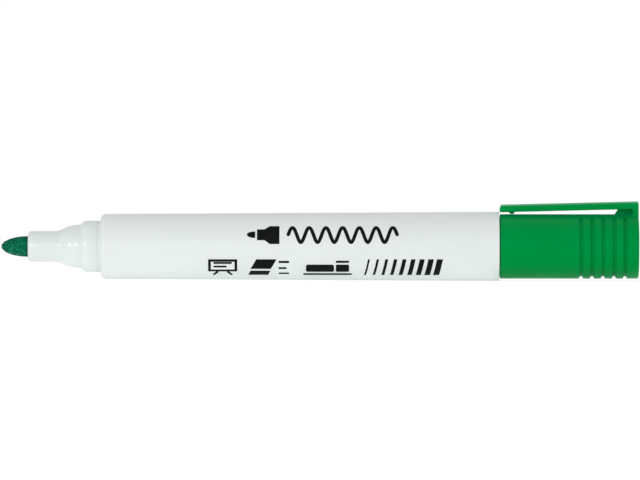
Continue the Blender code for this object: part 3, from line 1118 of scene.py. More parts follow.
@dataclass
class FeltNib:
    """The bullet nib: half an ellipse for a tip, a rod for a tail, and loose felt fibres."""

    shop: Workshop
    radius: float = 2.33 * MM
    tip_length: float = 5.95 * MM
    length: float = 40.0 * MM
    tail_chamfer: float = 0.6 * MM
    tip_steps: int = 40
    fibres_per_mm2: float = 11.0
    fibre_bend: float = 0.5 * MM
    fibre_radius: float = 0.022 * MM
    fibre_sink: float = 0.012 * MM

    def tip(self) -> list[Point]:
        """Draws the tip.

        Returns:
            Its outline, from the axis outwards.
        """
        start = self.shop.datums.nib_tip
        quarter = [math.pi / 2 * step / self.tip_steps for step in range(self.tip_steps + 1)]
        return [
            (start + self.tip_length * (1 - math.cos(angle)), self.radius * math.sin(angle))
            for angle in quarter
        ]

    def build(self) -> None:
        """Builds the nib and the fibres on its tip."""
        shop = self.shop
        end = shop.datums.nib_tip + self.length
        tail = [
            (end - self.tail_chamfer, self.radius),
            (end, self.radius - self.tail_chamfer),
            (end, 0.0),
        ]
        felt = shop.paints.get(Finish.FELT)
        rod = shop.turning.make("felt_nib", self.tip() + tail, felt, closed=False, facets=96)
        shop.piece("felt_nib", rod, Finish.FELT, "marker", "inked_felt", "bullet_nib")
        skin = [(x + self.fibre_sink, max(0.0, r - self.fibre_sink)) for x, r in self.tip()]
        surface = shop.turning.make("nib_surface", [*skin, (skin[-1][0], 0.0)], felt, False, 48)
        fibres = FeltFuzz().make(
            "nib_fibres", surface, self.fibres_per_mm2 / MM**2, self.fibre_bend, self.fibre_radius,
            shop.paints.get(Finish.FUZZ),
        )
        shop.piece("nib_fibres", fibres, Finish.FUZZ, "marker", "inked_felt")


@dataclass
class NibHolder:
    """The nose: a sleeve, a flare and a grip ring outside, with air channels round the nib."""

    shop: Workshop
    bore_radius: float = 2.36 * MM
    bore_fillet: float = 0.08 * MM
    sleeve_radius: float = 3.5 * MM
    face_fillet: float = 0.85 * MM
    flare_start: float = 7.1 * MM
    flare_start_fillet: float = 3.1 * MM
    flare_end: float = 9.7 * MM
    flare_end_fillet: float = 7.6 * MM
    neck_end: float = 12.0 * MM
    neck_radius: float = 4.93 * MM
    neck_fillet: float = 0.12 * MM
    ring_start: float = 12.8 * MM
    ring_radius: float = 5.85 * MM
    ring_fillet: float = 1.5 * MM
    seam: float = 0.012 * MM
    seam_fillet: float = 0.05 * MM
    spigot_radius: float = 5.2 * MM
    spigot_length: float = 10.0 * MM
    spigot_lead_in: float = 0.4 * MM
    channels: int = 3
    channel_width: float = 0.5 * MM
    channel_depth: float = 0.3 * MM
    channel_reach: float = 9.0 * MM
    cutter_edge: float = 0.05 * MM
    cutter_start: float = 0.5 * MM
    cutter_overlap: float = 0.4 * MM

    def outline(self) -> list[Point]:
        """Draws the nose.

        Returns:
            Its outline, round its wall.
        """
        face = self.shop.datums.nose_face
        seam = self.shop.datums.collar_face - Barrel.collar_overlap - self.seam
        corners = [
            Corner(face, self.bore_radius, self.bore_fillet),
            Corner(face, self.sleeve_radius, self.face_fillet, 8),
            Corner(face + self.flare_start, self.sleeve_radius, self.flare_start_fillet, 14),
            Corner(face + self.flare_end, self.neck_radius, self.flare_end_fillet, 20),
            Corner(face + self.neck_end, self.neck_radius, self.neck_fillet),
            Corner(face + self.ring_start, self.ring_radius, self.ring_fillet, 12),
            Corner(seam, self.ring_radius, self.seam_fillet, 3),
            Corner(seam, self.spigot_radius),
            Corner(seam + self.spigot_length, self.spigot_radius, self.spigot_lead_in),
            Corner(seam + self.spigot_length, self.bore_radius),
        ]
        return rounded(corners)

    def channel_bar(self) -> bpy.types.Mesh:
        """Makes the bar that cuts one air channel along the bore.

        Returns:
            Its mesh, above an axis at the origin.
        """
        start = self.shop.datums.nose_face - self.cutter_start
        low, high = self.bore_radius - self.cutter_overlap, self.bore_radius + self.channel_depth
        side = [
            (start, low),
            (start + self.channel_reach, low),
            (start + self.channel_reach, high),
            (start, high),
        ]
        return side_plate(
            "channel_bar", side, self.channel_width / 2, self.cutter_edge, stations=2, edge_steps=2
        )

    def build(self) -> None:
        """Builds the nose and cuts its channels."""
        shop = self.shop
        paint = shop.paints.get(Finish.NOSE)
        nose = new_object("nose_blank", shop.turning.make("nose_blank", self.outline(), paint))
        bar = tidied(self.channel_bar())
        bars = shop.rings.make("nose_channels", bar, self.channels, paint, math.pi / 6)
        cutter = new_object("nose_cutter", bars)
        cut = nose.modifiers.new("channels", "BOOLEAN")
        cut.operation = "DIFFERENCE"
        cut.solver = "EXACT"
        cut.object = cutter
        mesh = evaluated_mesh(nose, "nose")
        for used in (nose, cutter):
            bpy.data.objects.remove(used)
        shop.piece("nose", tidied(mesh), Finish.NOSE, "marker", "nose_plastic", "nib_holder")


@dataclass
class Barrel:
    """The tapered tube, its collar against the nose, and the print that faces the reader."""

    shop: Workshop
    front_radius: float = 7.37 * MM
    collar_length: float = 0.42 * MM
    collar_overlap: float = 0.17 * MM
    collar_radius: float = 5.82 * MM
    collar_fillet: float = 0.03 * MM
    shoulder_fillet: float = 1.1 * MM
    foot_fillet: float = 0.05 * MM
    rear_fillet: float = 0.2 * MM
    bore_radius: float = 5.5 * MM
    seat_radius: float = 7.2 * MM
    seat_depth: float = 1.15 * MM

    def shoulder(self) -> float:
        """Where the barrel's front face stands."""
        return self.shop.datums.collar_face + self.collar_length

    def outline(self) -> list[Point]:
        """Draws the barrel.

        Returns:
            Its outline, round its wall.
        """
        datums = self.shop.datums
        front, rear = datums.collar_face - self.collar_overlap, datums.barrel_rear
        corners = [
            Corner(front, self.bore_radius),
            Corner(front, self.collar_radius, self.collar_fillet, 3),
            Corner(self.shoulder(), self.collar_radius, self.foot_fillet, 3),
            Corner(self.shoulder(), self.front_radius, self.shoulder_fillet, 10),
            Corner(rear, datums.axis_height, self.rear_fillet, 5),
            Corner(rear, self.seat_radius, self.foot_fillet, 3),
            Corner(rear - self.seat_depth, self.seat_radius),
            Corner(rear - self.seat_depth, self.bore_radius),
        ]
        return rounded(corners)

    def build(self) -> None:
        """Builds the tube and its print."""
        shop = self.shop
        paint = shop.paints.get(Finish.WHITE)
        mesh = shop.turning.make("barrel_tube", self.outline(), paint, facets=192)
        shop.piece("barrel_tube", mesh, Finish.WHITE, "marker", "white_plastic", "barrel")
        side = BarrelWrap(
            shop.datums.axis_height,
            (self.shoulder(), self.front_radius),
            (shop.datums.barrel_rear, shop.datums.axis_height),
        )
        PrintedMarks(shop, side).build()


@dataclass
class Stroke:
    """A band of even width along a path, on the flat sheet."""

    path: list[Point]
    width: float
    closed: bool = False

    def quads(self) -> list[list[Point]]:
        """Cuts the band into quads, mitred where the path turns.

        Returns:
            Each quad's outline.
        """
        points = [Vector(point) for point in self.path]
        count = len(points)
        sides: list[tuple[Vector, Vector]] = []
        for index, at in enumerate(points):
            before = points[index - 1] if self.closed or index else at
            after = points[(index + 1) % count] if self.closed or index < count - 1 else at
            first = (at - before).normalized() if before != at else (after - at).normalized()
            second = (after - at).normalized() if after != at else first
            along = (first + second).normalized()
            across = Vector((-along.y, along.x))
            reach = self.width / 2 / max(0.4, along.dot(first))
            sides.append((at + across * reach, at - across * reach))
        last = count if self.closed else count - 1
        made = []
        for index in range(last):
            near, far = sides[index], sides[(index + 1) % count]
            made.append([tuple(near[0]), tuple(near[1]), tuple(far[1]), tuple(far[0])])
        return made


def disc(centre: Point, radius: float, steps: int = 28) -> list[Point]:
    """Draws a round spot.

    Args:
        centre: Its middle.
        radius: Its radius.
        steps: How many points go round it.

    Returns:
        Its outline.
    """
    turns = [math.tau * step / steps for step in range(steps)]
    return [(centre[0] + radius * math.cos(turn), centre[1] + radius * math.sin(turn)) for turn in turns]


def block(low: Point, high: Point, corner: float = 0.0) -> list[Point]:
    """Draws a rectangle.

    Args:
        low: Its lower left corner.
        high: Its upper right corner.
        corner: The radius that rounds its corners.

    Returns:
        Its outline.
    """
    corners = [
        Corner(low[0], low[1], corner, 4),
        Corner(high[0], low[1], corner, 4),
        Corner(high[0], high[1], corner, 4),
        Corner(low[0], high[1], corner, 4),
    ]
    return rounded(corners)


@dataclass
class PrintedMarks:
    """Two rows of generic pictograms: a nib and its stroke above, and the marker's uses below.

    Each mark is drawn from the place where it starts, about a middle line and to a height.
    """

    shop: Workshop
    side: BarrelWrap
    film: float = 0.012 * MM
    sink: float = 0.02 * MM
    slice: float = 0.35 * MM
    upper_start: float = -16.6 * MM
    upper_end: float = 17.5 * MM
    upper_middle: float = 2.74 * MM
    upper_height: float = 4.4 * MM
    lower_start: float = -25.4 * MM
    lower_end: float = 27.6 * MM
    lower_middle: float = -5.35 * MM
    lower_height: float = 4.7 * MM
    squiggle_place: float = 9.4 * MM
    squiggle_width: float = 0.8 * MM
    squiggle_waves: float = 6.5
    eraser_place: float = 9.6 * MM
    lying_place: float = 21.6 * MM
    bars_place: float = 35.4 * MM
    bars: int = 9
    bar_lean: float = 0.9 * MM
    line: float = 0.6 * MM
    board_width: float = 6.6 * MM

    def sheet(self, name: str, shapes: list[list[Point]]) -> bpy.types.Mesh:
        """Turns flat shapes into a thin solid sheet, cut finely enough to roll.

        Args:
            name: The mesh's name.
            shapes: The shapes' outlines.

        Returns:
            The flat sheet's mesh.
        """
        made = bmesh.new()
        for shape in shapes:
            made.faces.new([made.verts.new((x, y, -self.sink)) for x, y in shape])
        bmesh.ops.remove_doubles(made, verts=made.verts, dist=MICRON)
        low = min(vert.co.y for vert in made.verts)
        high = max(vert.co.y for vert in made.verts)
        for step in range(1, int((high - low) / self.slice) + 1):
            everything = made.verts[:] + made.edges[:] + made.faces[:]
            place = (0, low + step * self.slice, 0)
            bmesh.ops.bisect_plane(
                made, geom=everything, dist=0.1 * MICRON, plane_co=place, plane_no=(0, 1, 0)
            )
        raised = bmesh.ops.extrude_face_region(made, geom=made.faces[:])["geom"]
        top = [part for part in raised if isinstance(part, bmesh.types.BMVert)]
        bmesh.ops.translate(made, verts=top, vec=(0, 0, self.sink + self.film))
        mesh = bpy.data.meshes.new(name)
        made.to_mesh(mesh)
        made.free()
        return mesh

    def nib_mark(self, start: float, middle: float, height: float) -> list[list[Point]]:
        """Draws a marker's nose seen from the side, pointing left.

        Args:
            start: Where it starts along the barrel.
            middle: The height of its middle line.
            height: Its height.

        Returns:
            Its shapes' outlines.
        """
        half = height / 2
        steps = 10
        tip = [
            (
                start + 1.9 * MM * (1 - math.cos(math.pi / 2 * step / steps)),
                middle + half * 0.36 * math.sin(math.pi / 2 * step / steps),
            )
            for step in range(steps + 1)
        ]
        nib = tip + [(x, 2 * middle - y) for x, y in reversed(tip[1:])]
        nose = [
            (start + 2.3 * MM, middle - half * 0.6),
            (start + 4.0 * MM, middle - half * 0.6),
            (start + 5.2 * MM, middle - half),
            (start + 7.4 * MM, middle - half),
            (start + 7.4 * MM, middle + half),
            (start + 5.2 * MM, middle + half),
            (start + 4.0 * MM, middle + half * 0.6),
            (start + 2.3 * MM, middle + half * 0.6),
        ]
        return [nib, nose]

    def squiggle(self, start: float, end: float, middle: float, height: float) -> list[list[Point]]:
        """Draws a bold wavy line, with round ends.

        Args:
            start: Where it starts along the barrel.
            end: Where it ends.
            middle: The height of its middle line.
            height: Its height.

        Returns:
            Its shapes' outlines.
        """
        steps = 156
        swing = (height - self.squiggle_width) / 2
        path = []
        for step in range(steps + 1):
            turn = math.tau * self.squiggle_waves * step / steps
            path.append((start + (end - start) * step / steps, middle + swing * math.sin(turn)))
        ends = [disc(path[index], self.squiggle_width / 2) for index in (0, -1)]
        return Stroke(path, self.squiggle_width).quads() + ends

    def board_mark(self, start: float, middle: float, height: float) -> list[list[Point]]:
        """Draws a board on a stand, with two written lines.

        Args:
            start: Where it starts along the barrel.
            middle: The height of its middle line.
            height: Its height.

        Returns:
            Its shapes' outlines.
        """
        half = height / 2
        low, high = middle - half * 0.45, middle + half
        lines = [
            block((start + 1.2 * MM, y), (start + length * MM, y + 0.5 * MM), 0.2 * MM)
            for y, length in ((middle + half * 0.5, 5.4), (middle + half * 0.08, 4.2))
        ]
        left_leg = Stroke([(start + 2.2 * MM, low), (start + 1.2 * MM, middle - half)], self.line)
        right_leg = Stroke([(start + 4.4 * MM, low), (start + 5.4 * MM, middle - half)], self.line)
        inset = 0.3 * MM
        left, right = start + inset, start + self.board_width - inset
        rim = Stroke(
            [(left, low + inset), (right, low + inset), (right, high - inset), (left, high - inset)],
            self.line, closed=True,
        )
        return rim.quads() + lines + left_leg.quads() + right_leg.quads()

    def eraser_mark(self, start: float, middle: float, height: float) -> list[list[Point]]:
        """Draws a wiping block with three sweep lines behind it.

        Args:
            start: Where it starts along the barrel.
            middle: The height of its middle line.
            height: Its height.

        Returns:
            Its shapes' outlines.
        """
        half = height / 2
        lean = 1.3 * MM
        body = [
            (start, middle - half * 0.1),
            (start + 4.6 * MM, middle - half * 0.1),
            (start + 4.6 * MM + lean, middle + half),
            (start + lean, middle + half),
        ]
        pad = [
            (start - 0.5 * MM, middle - half),
            (start + 4.0 * MM, middle - half),
            (start + 4.5 * MM, middle - half * 0.35),
            (start, middle - half * 0.35),
        ]
        sweeps = [
            block((start + 6.4 * MM, y), (start + (6.4 + length) * MM, y + 0.55 * MM), 0.2 * MM)
            for y, length in (
                (middle + half * 0.6, 2.4), (middle - half * 0.12, 1.8), (middle - half * 0.85, 2.4)
            )
        ]
        return [body, pad, *sweeps]

    def lying_mark(self, start: float, middle: float, height: float) -> list[list[Point]]:
        """Draws a capped marker stored flat on a shelf.

        Args:
            start: Where it starts along the barrel.
            middle: The height of its middle line.
            height: Its height.

        Returns:
            Its shapes' outlines.
        """
        half = height / 2
        blocks = (
            (0.0, 11.0, -1.0, -0.72, 0.1),  # the shelf
            (0.6, 7.0, -0.5, 0.42, 0.5),  # the marker's body
            (7.4, 10.4, -0.5, 0.42, 0.3),  # its cap
            (7.4, 10.4, 0.62, 0.85, 0.1),  # its clip
        )
        return [
            block(
                (start + left * MM, middle + half * low),
                (start + right * MM, middle + half * high),
                corner * MM,
            )
            for left, right, low, high, corner in blocks
        ]

    def width_bars(self, start: float, end: float, middle: float, height: float) -> list[list[Point]]:
        """Draws slanted bars that grow bolder, like a nib's range of line widths.

        Args:
            start: Where it starts along the barrel.
            end: Where it ends.
            middle: The height of its middle line.
            height: Its height.

        Returns:
            Its shapes' outlines.
        """
        half = height / 2
        pitch = (end - start) / self.bars
        made = []
        for index in range(self.bars):
            width = pitch * (0.22 + 0.48 * index / (self.bars - 1))
            left = start + pitch * index
            made.append([
                (left, middle - half),
                (left + width, middle - half),
                (left + width + self.bar_lean, middle + half),
                (left + self.bar_lean, middle + half),
            ])
        return made

    def build(self) -> None:
        """Prints both rows."""
        shop = self.shop
        ink = shop.paints.get(Finish.INK)
        start, middle, height = self.upper_start, self.upper_middle, self.upper_height
        upper = self.nib_mark(start, middle, height)
        upper += self.squiggle(start + self.squiggle_place, self.upper_end, middle, height)
        start, middle, height = self.lower_start, self.lower_middle, self.lower_height
        lower = self.board_mark(start, middle, height)
        lower += self.eraser_mark(start + self.eraser_place, middle, height)
        lower += self.lying_mark(start + self.lying_place, middle, height)
        lower += self.width_bars(start + self.bars_place, self.lower_end, middle, height)
        for name, shapes in (("print_upper_row", upper), ("print_lower_row", lower)):
            mesh = self.side.make(name, self.sheet(name, shapes), ink)
            shop.piece(name, mesh, Finish.INK, "marker", "white_plastic")


@dataclass
class EndPlug:
    """The plug in the barrel's rear: its flange, and the ribbed tail that the cap posts on."""

    shop: Workshop
    flange_radius: float = 7.1 * MM
    flange_length: float = 0.85 * MM
    flange_sink: float = 0.02 * MM
    plug_radius: float = 5.45 * MM
    taper_end: float = 11.5 * MM
    core_radius: float = 5.4 * MM
    tail_fillet: float = 0.7 * MM
    rib_radius: float = 5.85 * MM
    ribs: int = 8
    rib_width: float = 1.1 * MM
    rib_edge: float = 0.15 * MM
    rib_setback: float = 0.5 * MM
    lead_in: float = 1.6 * MM
    lead_in_fillet: float = 1.2 * MM
    dimple_radius: float = 1.6 * MM
    dimple_depth: float = 0.4 * MM
    dimple_slope: float = 0.3 * MM
    dimple_fillet: float = 0.12 * MM

    def outline(self) -> list[Point]:
        """Draws the plug.

        Returns:
            Its outline, from the axis at its front to the axis at its rear.
        """
        datums = self.shop.datums
        rear, end = datums.barrel_rear, datums.tail_end
        flange_face, dimple_floor = rear - self.flange_sink, end - self.dimple_depth
        corners = [
            Corner(datums.plug_start, 0),
            Corner(datums.plug_start, self.plug_radius / 2, 0.3 * MM),
            Corner(rear - self.taper_end, self.plug_radius, 0.4 * MM),
            Corner(rear - self.flange_length, self.plug_radius),
            Corner(rear - self.flange_length, self.flange_radius),
            Corner(flange_face, self.flange_radius, 0.08 * MM, 3),
            Corner(flange_face, self.core_radius, 0.15 * MM),
            Corner(end, self.core_radius, self.tail_fillet, 8),
            Corner(end, self.dimple_radius, self.dimple_fillet),
            Corner(dimple_floor, self.dimple_radius - self.dimple_slope, self.dimple_fillet),
            Corner(dimple_floor, 0),
        ]
        return rounded(corners, closed=False)

    def rib(self) -> bpy.types.Mesh:
        """Makes one rib of the tail.

        Returns:
            Its mesh, above an axis at the origin.
        """
        start = self.shop.datums.barrel_rear - 0.1 * MM
        end = self.shop.datums.tail_end - self.rib_setback
        low = self.core_radius - 0.4 * MM
        side = rounded([
            Corner(start, low),
            Corner(end, low),
            Corner(end, self.core_radius - 0.1 * MM),
            Corner(end - self.lead_in, self.rib_radius, self.lead_in_fillet),
            Corner(start, self.rib_radius),
        ])
        return side_plate("tail_rib", side, self.rib_width / 2, self.rib_edge, stations=4)

    def build(self) -> None:
        """Builds the plug and its ribs."""
        shop = self.shop
        paint = shop.paints.get(Finish.GREEN)
        body = shop.turning.make("plug_body", self.outline(), paint, closed=False)
        shop.piece("plug_body", body, Finish.GREEN, "marker", "green_plastic", "end_plug")
        ribs = shop.rings.make("tail_ribs", tidied(self.rib()), self.ribs, paint, math.pi / self.ribs)
        shop.piece("tail_ribs", ribs, Finish.GREEN, "marker", "green_plastic")


@dataclass
class InkStore:
    """The reservoir and its film, which keep their own shapes and get their finishes."""

    shop: Workshop

    def dress(self) -> None:
        """Gives both their finishes."""
        for node, finish in (("ink_reservoir", Finish.RESERVOIR), ("reservoir_film", Finish.FILM)):
            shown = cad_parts[node]
            shown.data.materials.clear()
            shown.data.materials.append(self.shop.paints.get(finish))
            log.info("%s: kept, in %s", node, finish.value.name)


@dataclass
class CapShell:
    """The cap: a cup with grip grooves outside, grip ribs inside and a gate mark on its end."""

    shop: Workshop
    radius: float = 7.34 * MM
    bore_radius: float = 6.17 * MM
    end_thickness: float = 1.5 * MM
    mouth_fillet: float = 0.25 * MM
    end_fillet: float = 0.35 * MM
    grooves: int = 5
    last_groove: float = 3.1 * MM
    pitch: float = 2.5 * MM
    groove_width: float = 0.98 * MM
    floor_width: float = 0.42 * MM
    groove_depth: float = 0.52 * MM
    land_fillet: float = 0.1 * MM
    floor_fillet: float = 0.22 * MM
    strip_width: float = 5.3 * MM
    ribs: int = 6
    rib_width: float = 0.9 * MM
    rib_start: float = 1.4 * MM
    rib_end: float = 11.4 * MM
    rib_height: float = 0.17 * MM
    rib_root: float = 0.3 * MM
    rib_edge: float = 0.1 * MM
    lead_in: float = 0.8 * MM
    lead_in_fillet: float = 0.5 * MM
    gate_radius: float = 1.3 * MM
    gate_floor_radius: float = 0.9 * MM
    gate_depth: float = 0.25 * MM
    gate_fillet: float = 0.2 * MM

    def groove(self, middle: float) -> list[Corner]:
        """Draws one groove.

        Args:
            middle: Its place along X.

        Returns:
            Its corners, in the order that the outline runs.
        """
        floor = self.radius - self.groove_depth
        land, bottom = self.groove_width / 2, self.floor_width / 2
        return [
            Corner(middle - land, self.radius, self.land_fillet, 4),
            Corner(middle - bottom, floor, self.floor_fillet, 4),
            Corner(middle + bottom, floor, self.floor_fillet, 4),
            Corner(middle + land, self.radius, self.land_fillet, 4),
        ]

    def outline(self) -> list[Point]:
        """Draws the cap.

        Returns:
            Its outline, from the axis inside to the axis outside.
        """
        mouth, end = self.shop.datums.cap_mouth, self.shop.datums.cap_end
        corners = [
            Corner(end - self.end_thickness, 0),
            Corner(end - self.end_thickness, self.bore_radius, 0.3 * MM),
            Corner(mouth, self.bore_radius, 0.2 * MM),
            Corner(mouth, self.radius, self.mouth_fillet, 5),
        ]
        for index in reversed(range(self.grooves)):
            corners += self.groove(end - self.last_groove - self.pitch * index)
        corners += [
            Corner(end, self.radius, self.end_fillet, 6),
            Corner(end, self.gate_radius, self.gate_fillet, 4),
            Corner(end - self.gate_depth, self.gate_floor_radius, self.gate_fillet, 4),
            Corner(end - self.gate_depth, 0),
        ]
        return rounded(corners, closed=False)

    def fill_strip(self, mesh: bpy.types.Mesh) -> None:
        """Fills the grooves on the plain strip under the clip.

        Args:
            mesh: The turned cap, which is changed.
        """
        height = self.shop.datums.axis_height
        end = self.shop.datums.cap_end
        first = end - self.last_groove - self.pitch * (self.grooves - 1) - self.groove_width
        deepest = self.radius - self.groove_depth - 0.01 * MM
        for vertex in mesh.vertices:
            x, y, z = vertex.co
            radius = math.hypot(y, z - height)
            outside = first < x < end - self.end_thickness and deepest < radius < self.radius
            if outside and z > height and abs(y) < self.strip_width / 2:
                vertex.co.y = y * self.radius / radius
                vertex.co.z = height + (z - height) * self.radius / radius

    def rib(self) -> bpy.types.Mesh:
        """Makes one grip rib of the cap's bore.

        Returns:
            Its mesh, above an axis at the origin.
        """
        mouth = self.shop.datums.cap_mouth
        top = self.bore_radius + self.rib_root
        low = self.bore_radius - self.rib_height
        side = rounded([
            Corner(mouth + self.rib_start, top),
            Corner(mouth + self.rib_start, self.bore_radius),
            Corner(mouth + self.rib_start + self.lead_in, low, self.lead_in_fillet),
            Corner(mouth + self.rib_end, low),
            Corner(mouth + self.rib_end, top),
        ])
        return side_plate("cap_rib", side, self.rib_width / 2, self.rib_edge, stations=4)

    def build(self) -> None:
        """Builds the shell and its ribs."""
        shop = self.shop
        paint = shop.paints.get(Finish.GREEN)
        shell = shop.turning.make("cap_cup", self.outline(), paint, closed=False, facets=256)
        self.fill_strip(shell)
        tidied(shell)
        shop.piece("cap_cup", shell, Finish.GREEN, "cap", "green_plastic", "cap_shell")
        ribs = shop.rings.make("cap_grip_ribs", tidied(self.rib()), self.ribs, paint)
        shop.piece("cap_grip_ribs", ribs, Finish.GREEN, "cap", "green_plastic")


@dataclass
class PocketClip:
    """The clip: an arm that climbs to its root, a web and an end wall that carry it, and a tooth.

    Its plates are drawn with the marker's axis at height 0, and raised once they are joined.
    """

    shop: Workshop
    width: float = 5.3 * MM
    tip_height: float = 7.76 * MM
    slope: float = 0.024
    side_height: float = 1.26 * MM
    crown: float = 0.5 * MM
    arm_edge: float = 0.22 * MM
    tip_fillet: float = 0.5 * MM
    tip_under_fillet: float = 0.15 * MM
    end_fillet: float = 0.25 * MM
    slot_end: float = 1.3 * MM
    slot_fillet: float = 0.48 * MM
    slot_floor: float = 7.04 * MM
    wall_foot: float = 6.3 * MM
    wall_step: float = 0.7 * MM
    web_front: float = 4.7 * MM
    web_lean: float = 0.75 * MM
    web_width: float = 1.3 * MM
    web_edge: float = 0.12 * MM
    web_foot: float = 6.6 * MM
    web_toe: float = 0.72 * MM
    web_overlap: float = 0.4 * MM
    tooth_place: float = 2.75 * MM
    tooth_root: float = 1.3 * MM
    tooth_foot: float = 0.75 * MM
    tooth_width: float = 3.6 * MM
    tooth_edge: float = 0.2 * MM
    tooth_fillet: float = 0.15 * MM
    tooth_gap: float = 0.05 * MM
    overlap: float = 0.5 * MM
    segment: float = 0.8 * MM
    bend_length: float = 5.0 * MM
    smooth_angle: float = math.radians(38)

    def underside(self, x: float) -> float:
        """The arm's underside above the marker's axis, at a place along X."""
        return self.tip_height + self.slope * (x - self.shop.datums.cap_mouth)

    def arm(self) -> bpy.types.Mesh:
        """Makes the arm and its end wall as one plate.

        Returns:
            Its mesh.
        """
        datums = self.shop.datums
        mouth, end = datums.cap_mouth, datums.cap_end
        slot = end - self.slot_end
        steps = int((slot - mouth) / self.segment)
        below = [mouth + (slot - mouth) * step / steps for step in range(1, steps)]
        above = [mouth + (end - mouth) * step / steps for step in range(steps - 1, 0, -1)]
        top = self.side_height
        corners = [Corner(mouth, self.underside(mouth), self.tip_under_fillet, 4)]
        corners += [Corner(x, self.underside(x)) for x in below]
        corners += [
            Corner(slot, self.underside(slot), self.slot_fillet, 6),
            Corner(slot, self.slot_floor, self.slot_fillet, 6),
            Corner(slot - self.wall_step, self.slot_floor),
            Corner(slot - self.wall_step, self.wall_foot),
            Corner(end, self.wall_foot),
            Corner(end, self.underside(end) + top, self.end_fillet, 5),
        ]
        corners += [Corner(x, self.underside(x) + top) for x in above]
        corners += [Corner(mouth, self.underside(mouth) + top, self.tip_fillet, 7)]
        outline = rounded(corners)
        rise = {
            index: self.crown * min(1.0, max(0.0, (z - self.underside(x)) / top) ** 3)
            for index, (x, z) in enumerate(outline)
        }
        return side_plate(
            "clip_arm", outline, self.width / 2, self.arm_edge, rise, stations=16, edge_steps=5
        )

    def web(self) -> bpy.types.Mesh:
        """Makes the web under the arm's root.

        Returns:
            Its mesh.
        """
        end = self.shop.datums.cap_end
        front, back = end - self.web_front, end - self.slot_end + self.web_overlap
        top = self.underside(front)
        side = rounded([
            Corner(front - self.web_lean, self.web_foot),
            Corner(back, self.web_foot),
            Corner(back, top + self.overlap),
            Corner(front, top + self.overlap),
            Corner(front, top, 0.2 * MM),
            Corner(front - self.web_lean, self.web_foot + self.web_toe, 0.1 * MM),
        ])
        return side_plate("clip_web", side, self.web_width / 2, self.web_edge, stations=4)

    def tooth(self) -> bpy.types.Mesh:
        """Makes the tooth that grips a pocket's edge.

        Returns:
            Its mesh.
        """
        middle = self.shop.datums.cap_mouth + self.tooth_place
        foot = CapShell.radius + self.tooth_gap
        top = self.underside(middle)
        side = rounded([
            Corner(middle - self.tooth_foot / 2, foot, self.tooth_fillet),
            Corner(middle + self.tooth_foot / 2, foot, self.tooth_fillet),
            Corner(middle + self.tooth_root / 2, top),
            Corner(middle + self.tooth_root / 2, top + self.overlap),
            Corner(middle - self.tooth_root / 2, top + self.overlap),
            Corner(middle - self.tooth_root / 2, top),
        ])
        return side_plate("clip_tooth", side, self.tooth_width / 2, self.tooth_edge, stations=4)

    def build(self) -> None:
        """Joins the clip's shapes and raises them onto the marker's axis."""
        shop = self.shop
        meshes = [tidied(mesh) for mesh in (self.arm(), self.web(), self.tooth())]
        mesh = tidied(united("clip", meshes), self.smooth_angle)
        for vertex in mesh.vertices:
            vertex.co.z += shop.datums.axis_height
        mesh.materials.clear()
        mesh.materials.append(shop.paints.get(Finish.GREEN))
        clip = new_object("clip", mesh)
        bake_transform(clip)
        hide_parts("pocket_clip")
        log.info("clip: %d faces from cap to clip, in green_plastic", len(mesh.polygons))


@dataclass
class CapLiner:
    """The sealing cup inside the cap, with a lip that closes round the nose."""

    shop: Workshop
    radius: float = 4.75 * MM
    bore_radius: float = 3.85 * MM
    lip_radius: float = 3.56 * MM
    lip_length: float = 0.8 * MM
    base_radius: float = 6.1 * MM
    base_length: float = 1.3 * MM

    def outline(self) -> list[Point]:
        """Draws the liner.

        Returns:
            Its outline, from the axis outside to the axis inside.
        """
        mouth, end = self.shop.datums.liner_mouth, self.shop.datums.liner_end
        floor = end - self.base_length
        corners = [
            Corner(end, 0),
            Corner(end, self.base_radius, 0.1 * MM),
            Corner(floor, self.base_radius, 0.1 * MM),
            Corner(floor, self.radius, 0.3 * MM),
            Corner(mouth, self.radius, 0.35 * MM),
            Corner(mouth, self.bore_radius, 0.12 * MM),
            Corner(mouth + self.lip_length / 2, self.lip_radius, 0.15 * MM),
            Corner(mouth + self.lip_length, self.lip_radius, 0.15 * MM),
            Corner(mouth + 2 * self.lip_length, self.bore_radius, 0.3 * MM),
            Corner(floor, self.bore_radius, 0.5 * MM),
            Corner(floor, 0),
        ]
        return rounded(corners, closed=False)

    def build(self) -> None:
        """Builds the liner."""
        shop = self.shop
        paint = shop.paints.get(Finish.LINER)
        mesh = shop.turning.make("seal_cup", self.outline(), paint, closed=False, facets=128)
        shop.piece("seal_cup", mesh, Finish.LINER, "cap_core", "liner_plastic", "cap_liner")


# ---------------------------------------------------------------------------
# The studio
# ---------------------------------------------------------------------------


@dataclass(frozen=True)
class Softbox:
    """A rectangular light that faces the marker."""

    name: str
    azimuth: float
    elevation: float
    distance: float
    width: float
    height: float
    power: float

    def place(self, target: Vector) -> None:
        """Hangs the light on a sphere round the target.

        Args:
            target: The point that it faces.
        """
        turn, tilt = math.radians(self.azimuth), math.radians(self.elevation)
        back = Vector(
            (math.sin(turn) * math.cos(tilt), -math.cos(turn) * math.cos(tilt), math.sin(tilt))
        )
        lamp = bpy.data.lights.new(self.name, "AREA")
        lamp.shape = "RECTANGLE"
        lamp.size = self.width
        lamp.size_y = self.height
        lamp.energy = self.power
        made = bpy.data.objects.new(self.name, lamp)
        made.location = target + back * self.distance
        made.rotation_mode = "QUATERNION"
        made.rotation_quaternion = back.to_track_quat("Z", "Y")
        made.visible_camera = False
        bpy.context.scene.collection.objects.link(made)


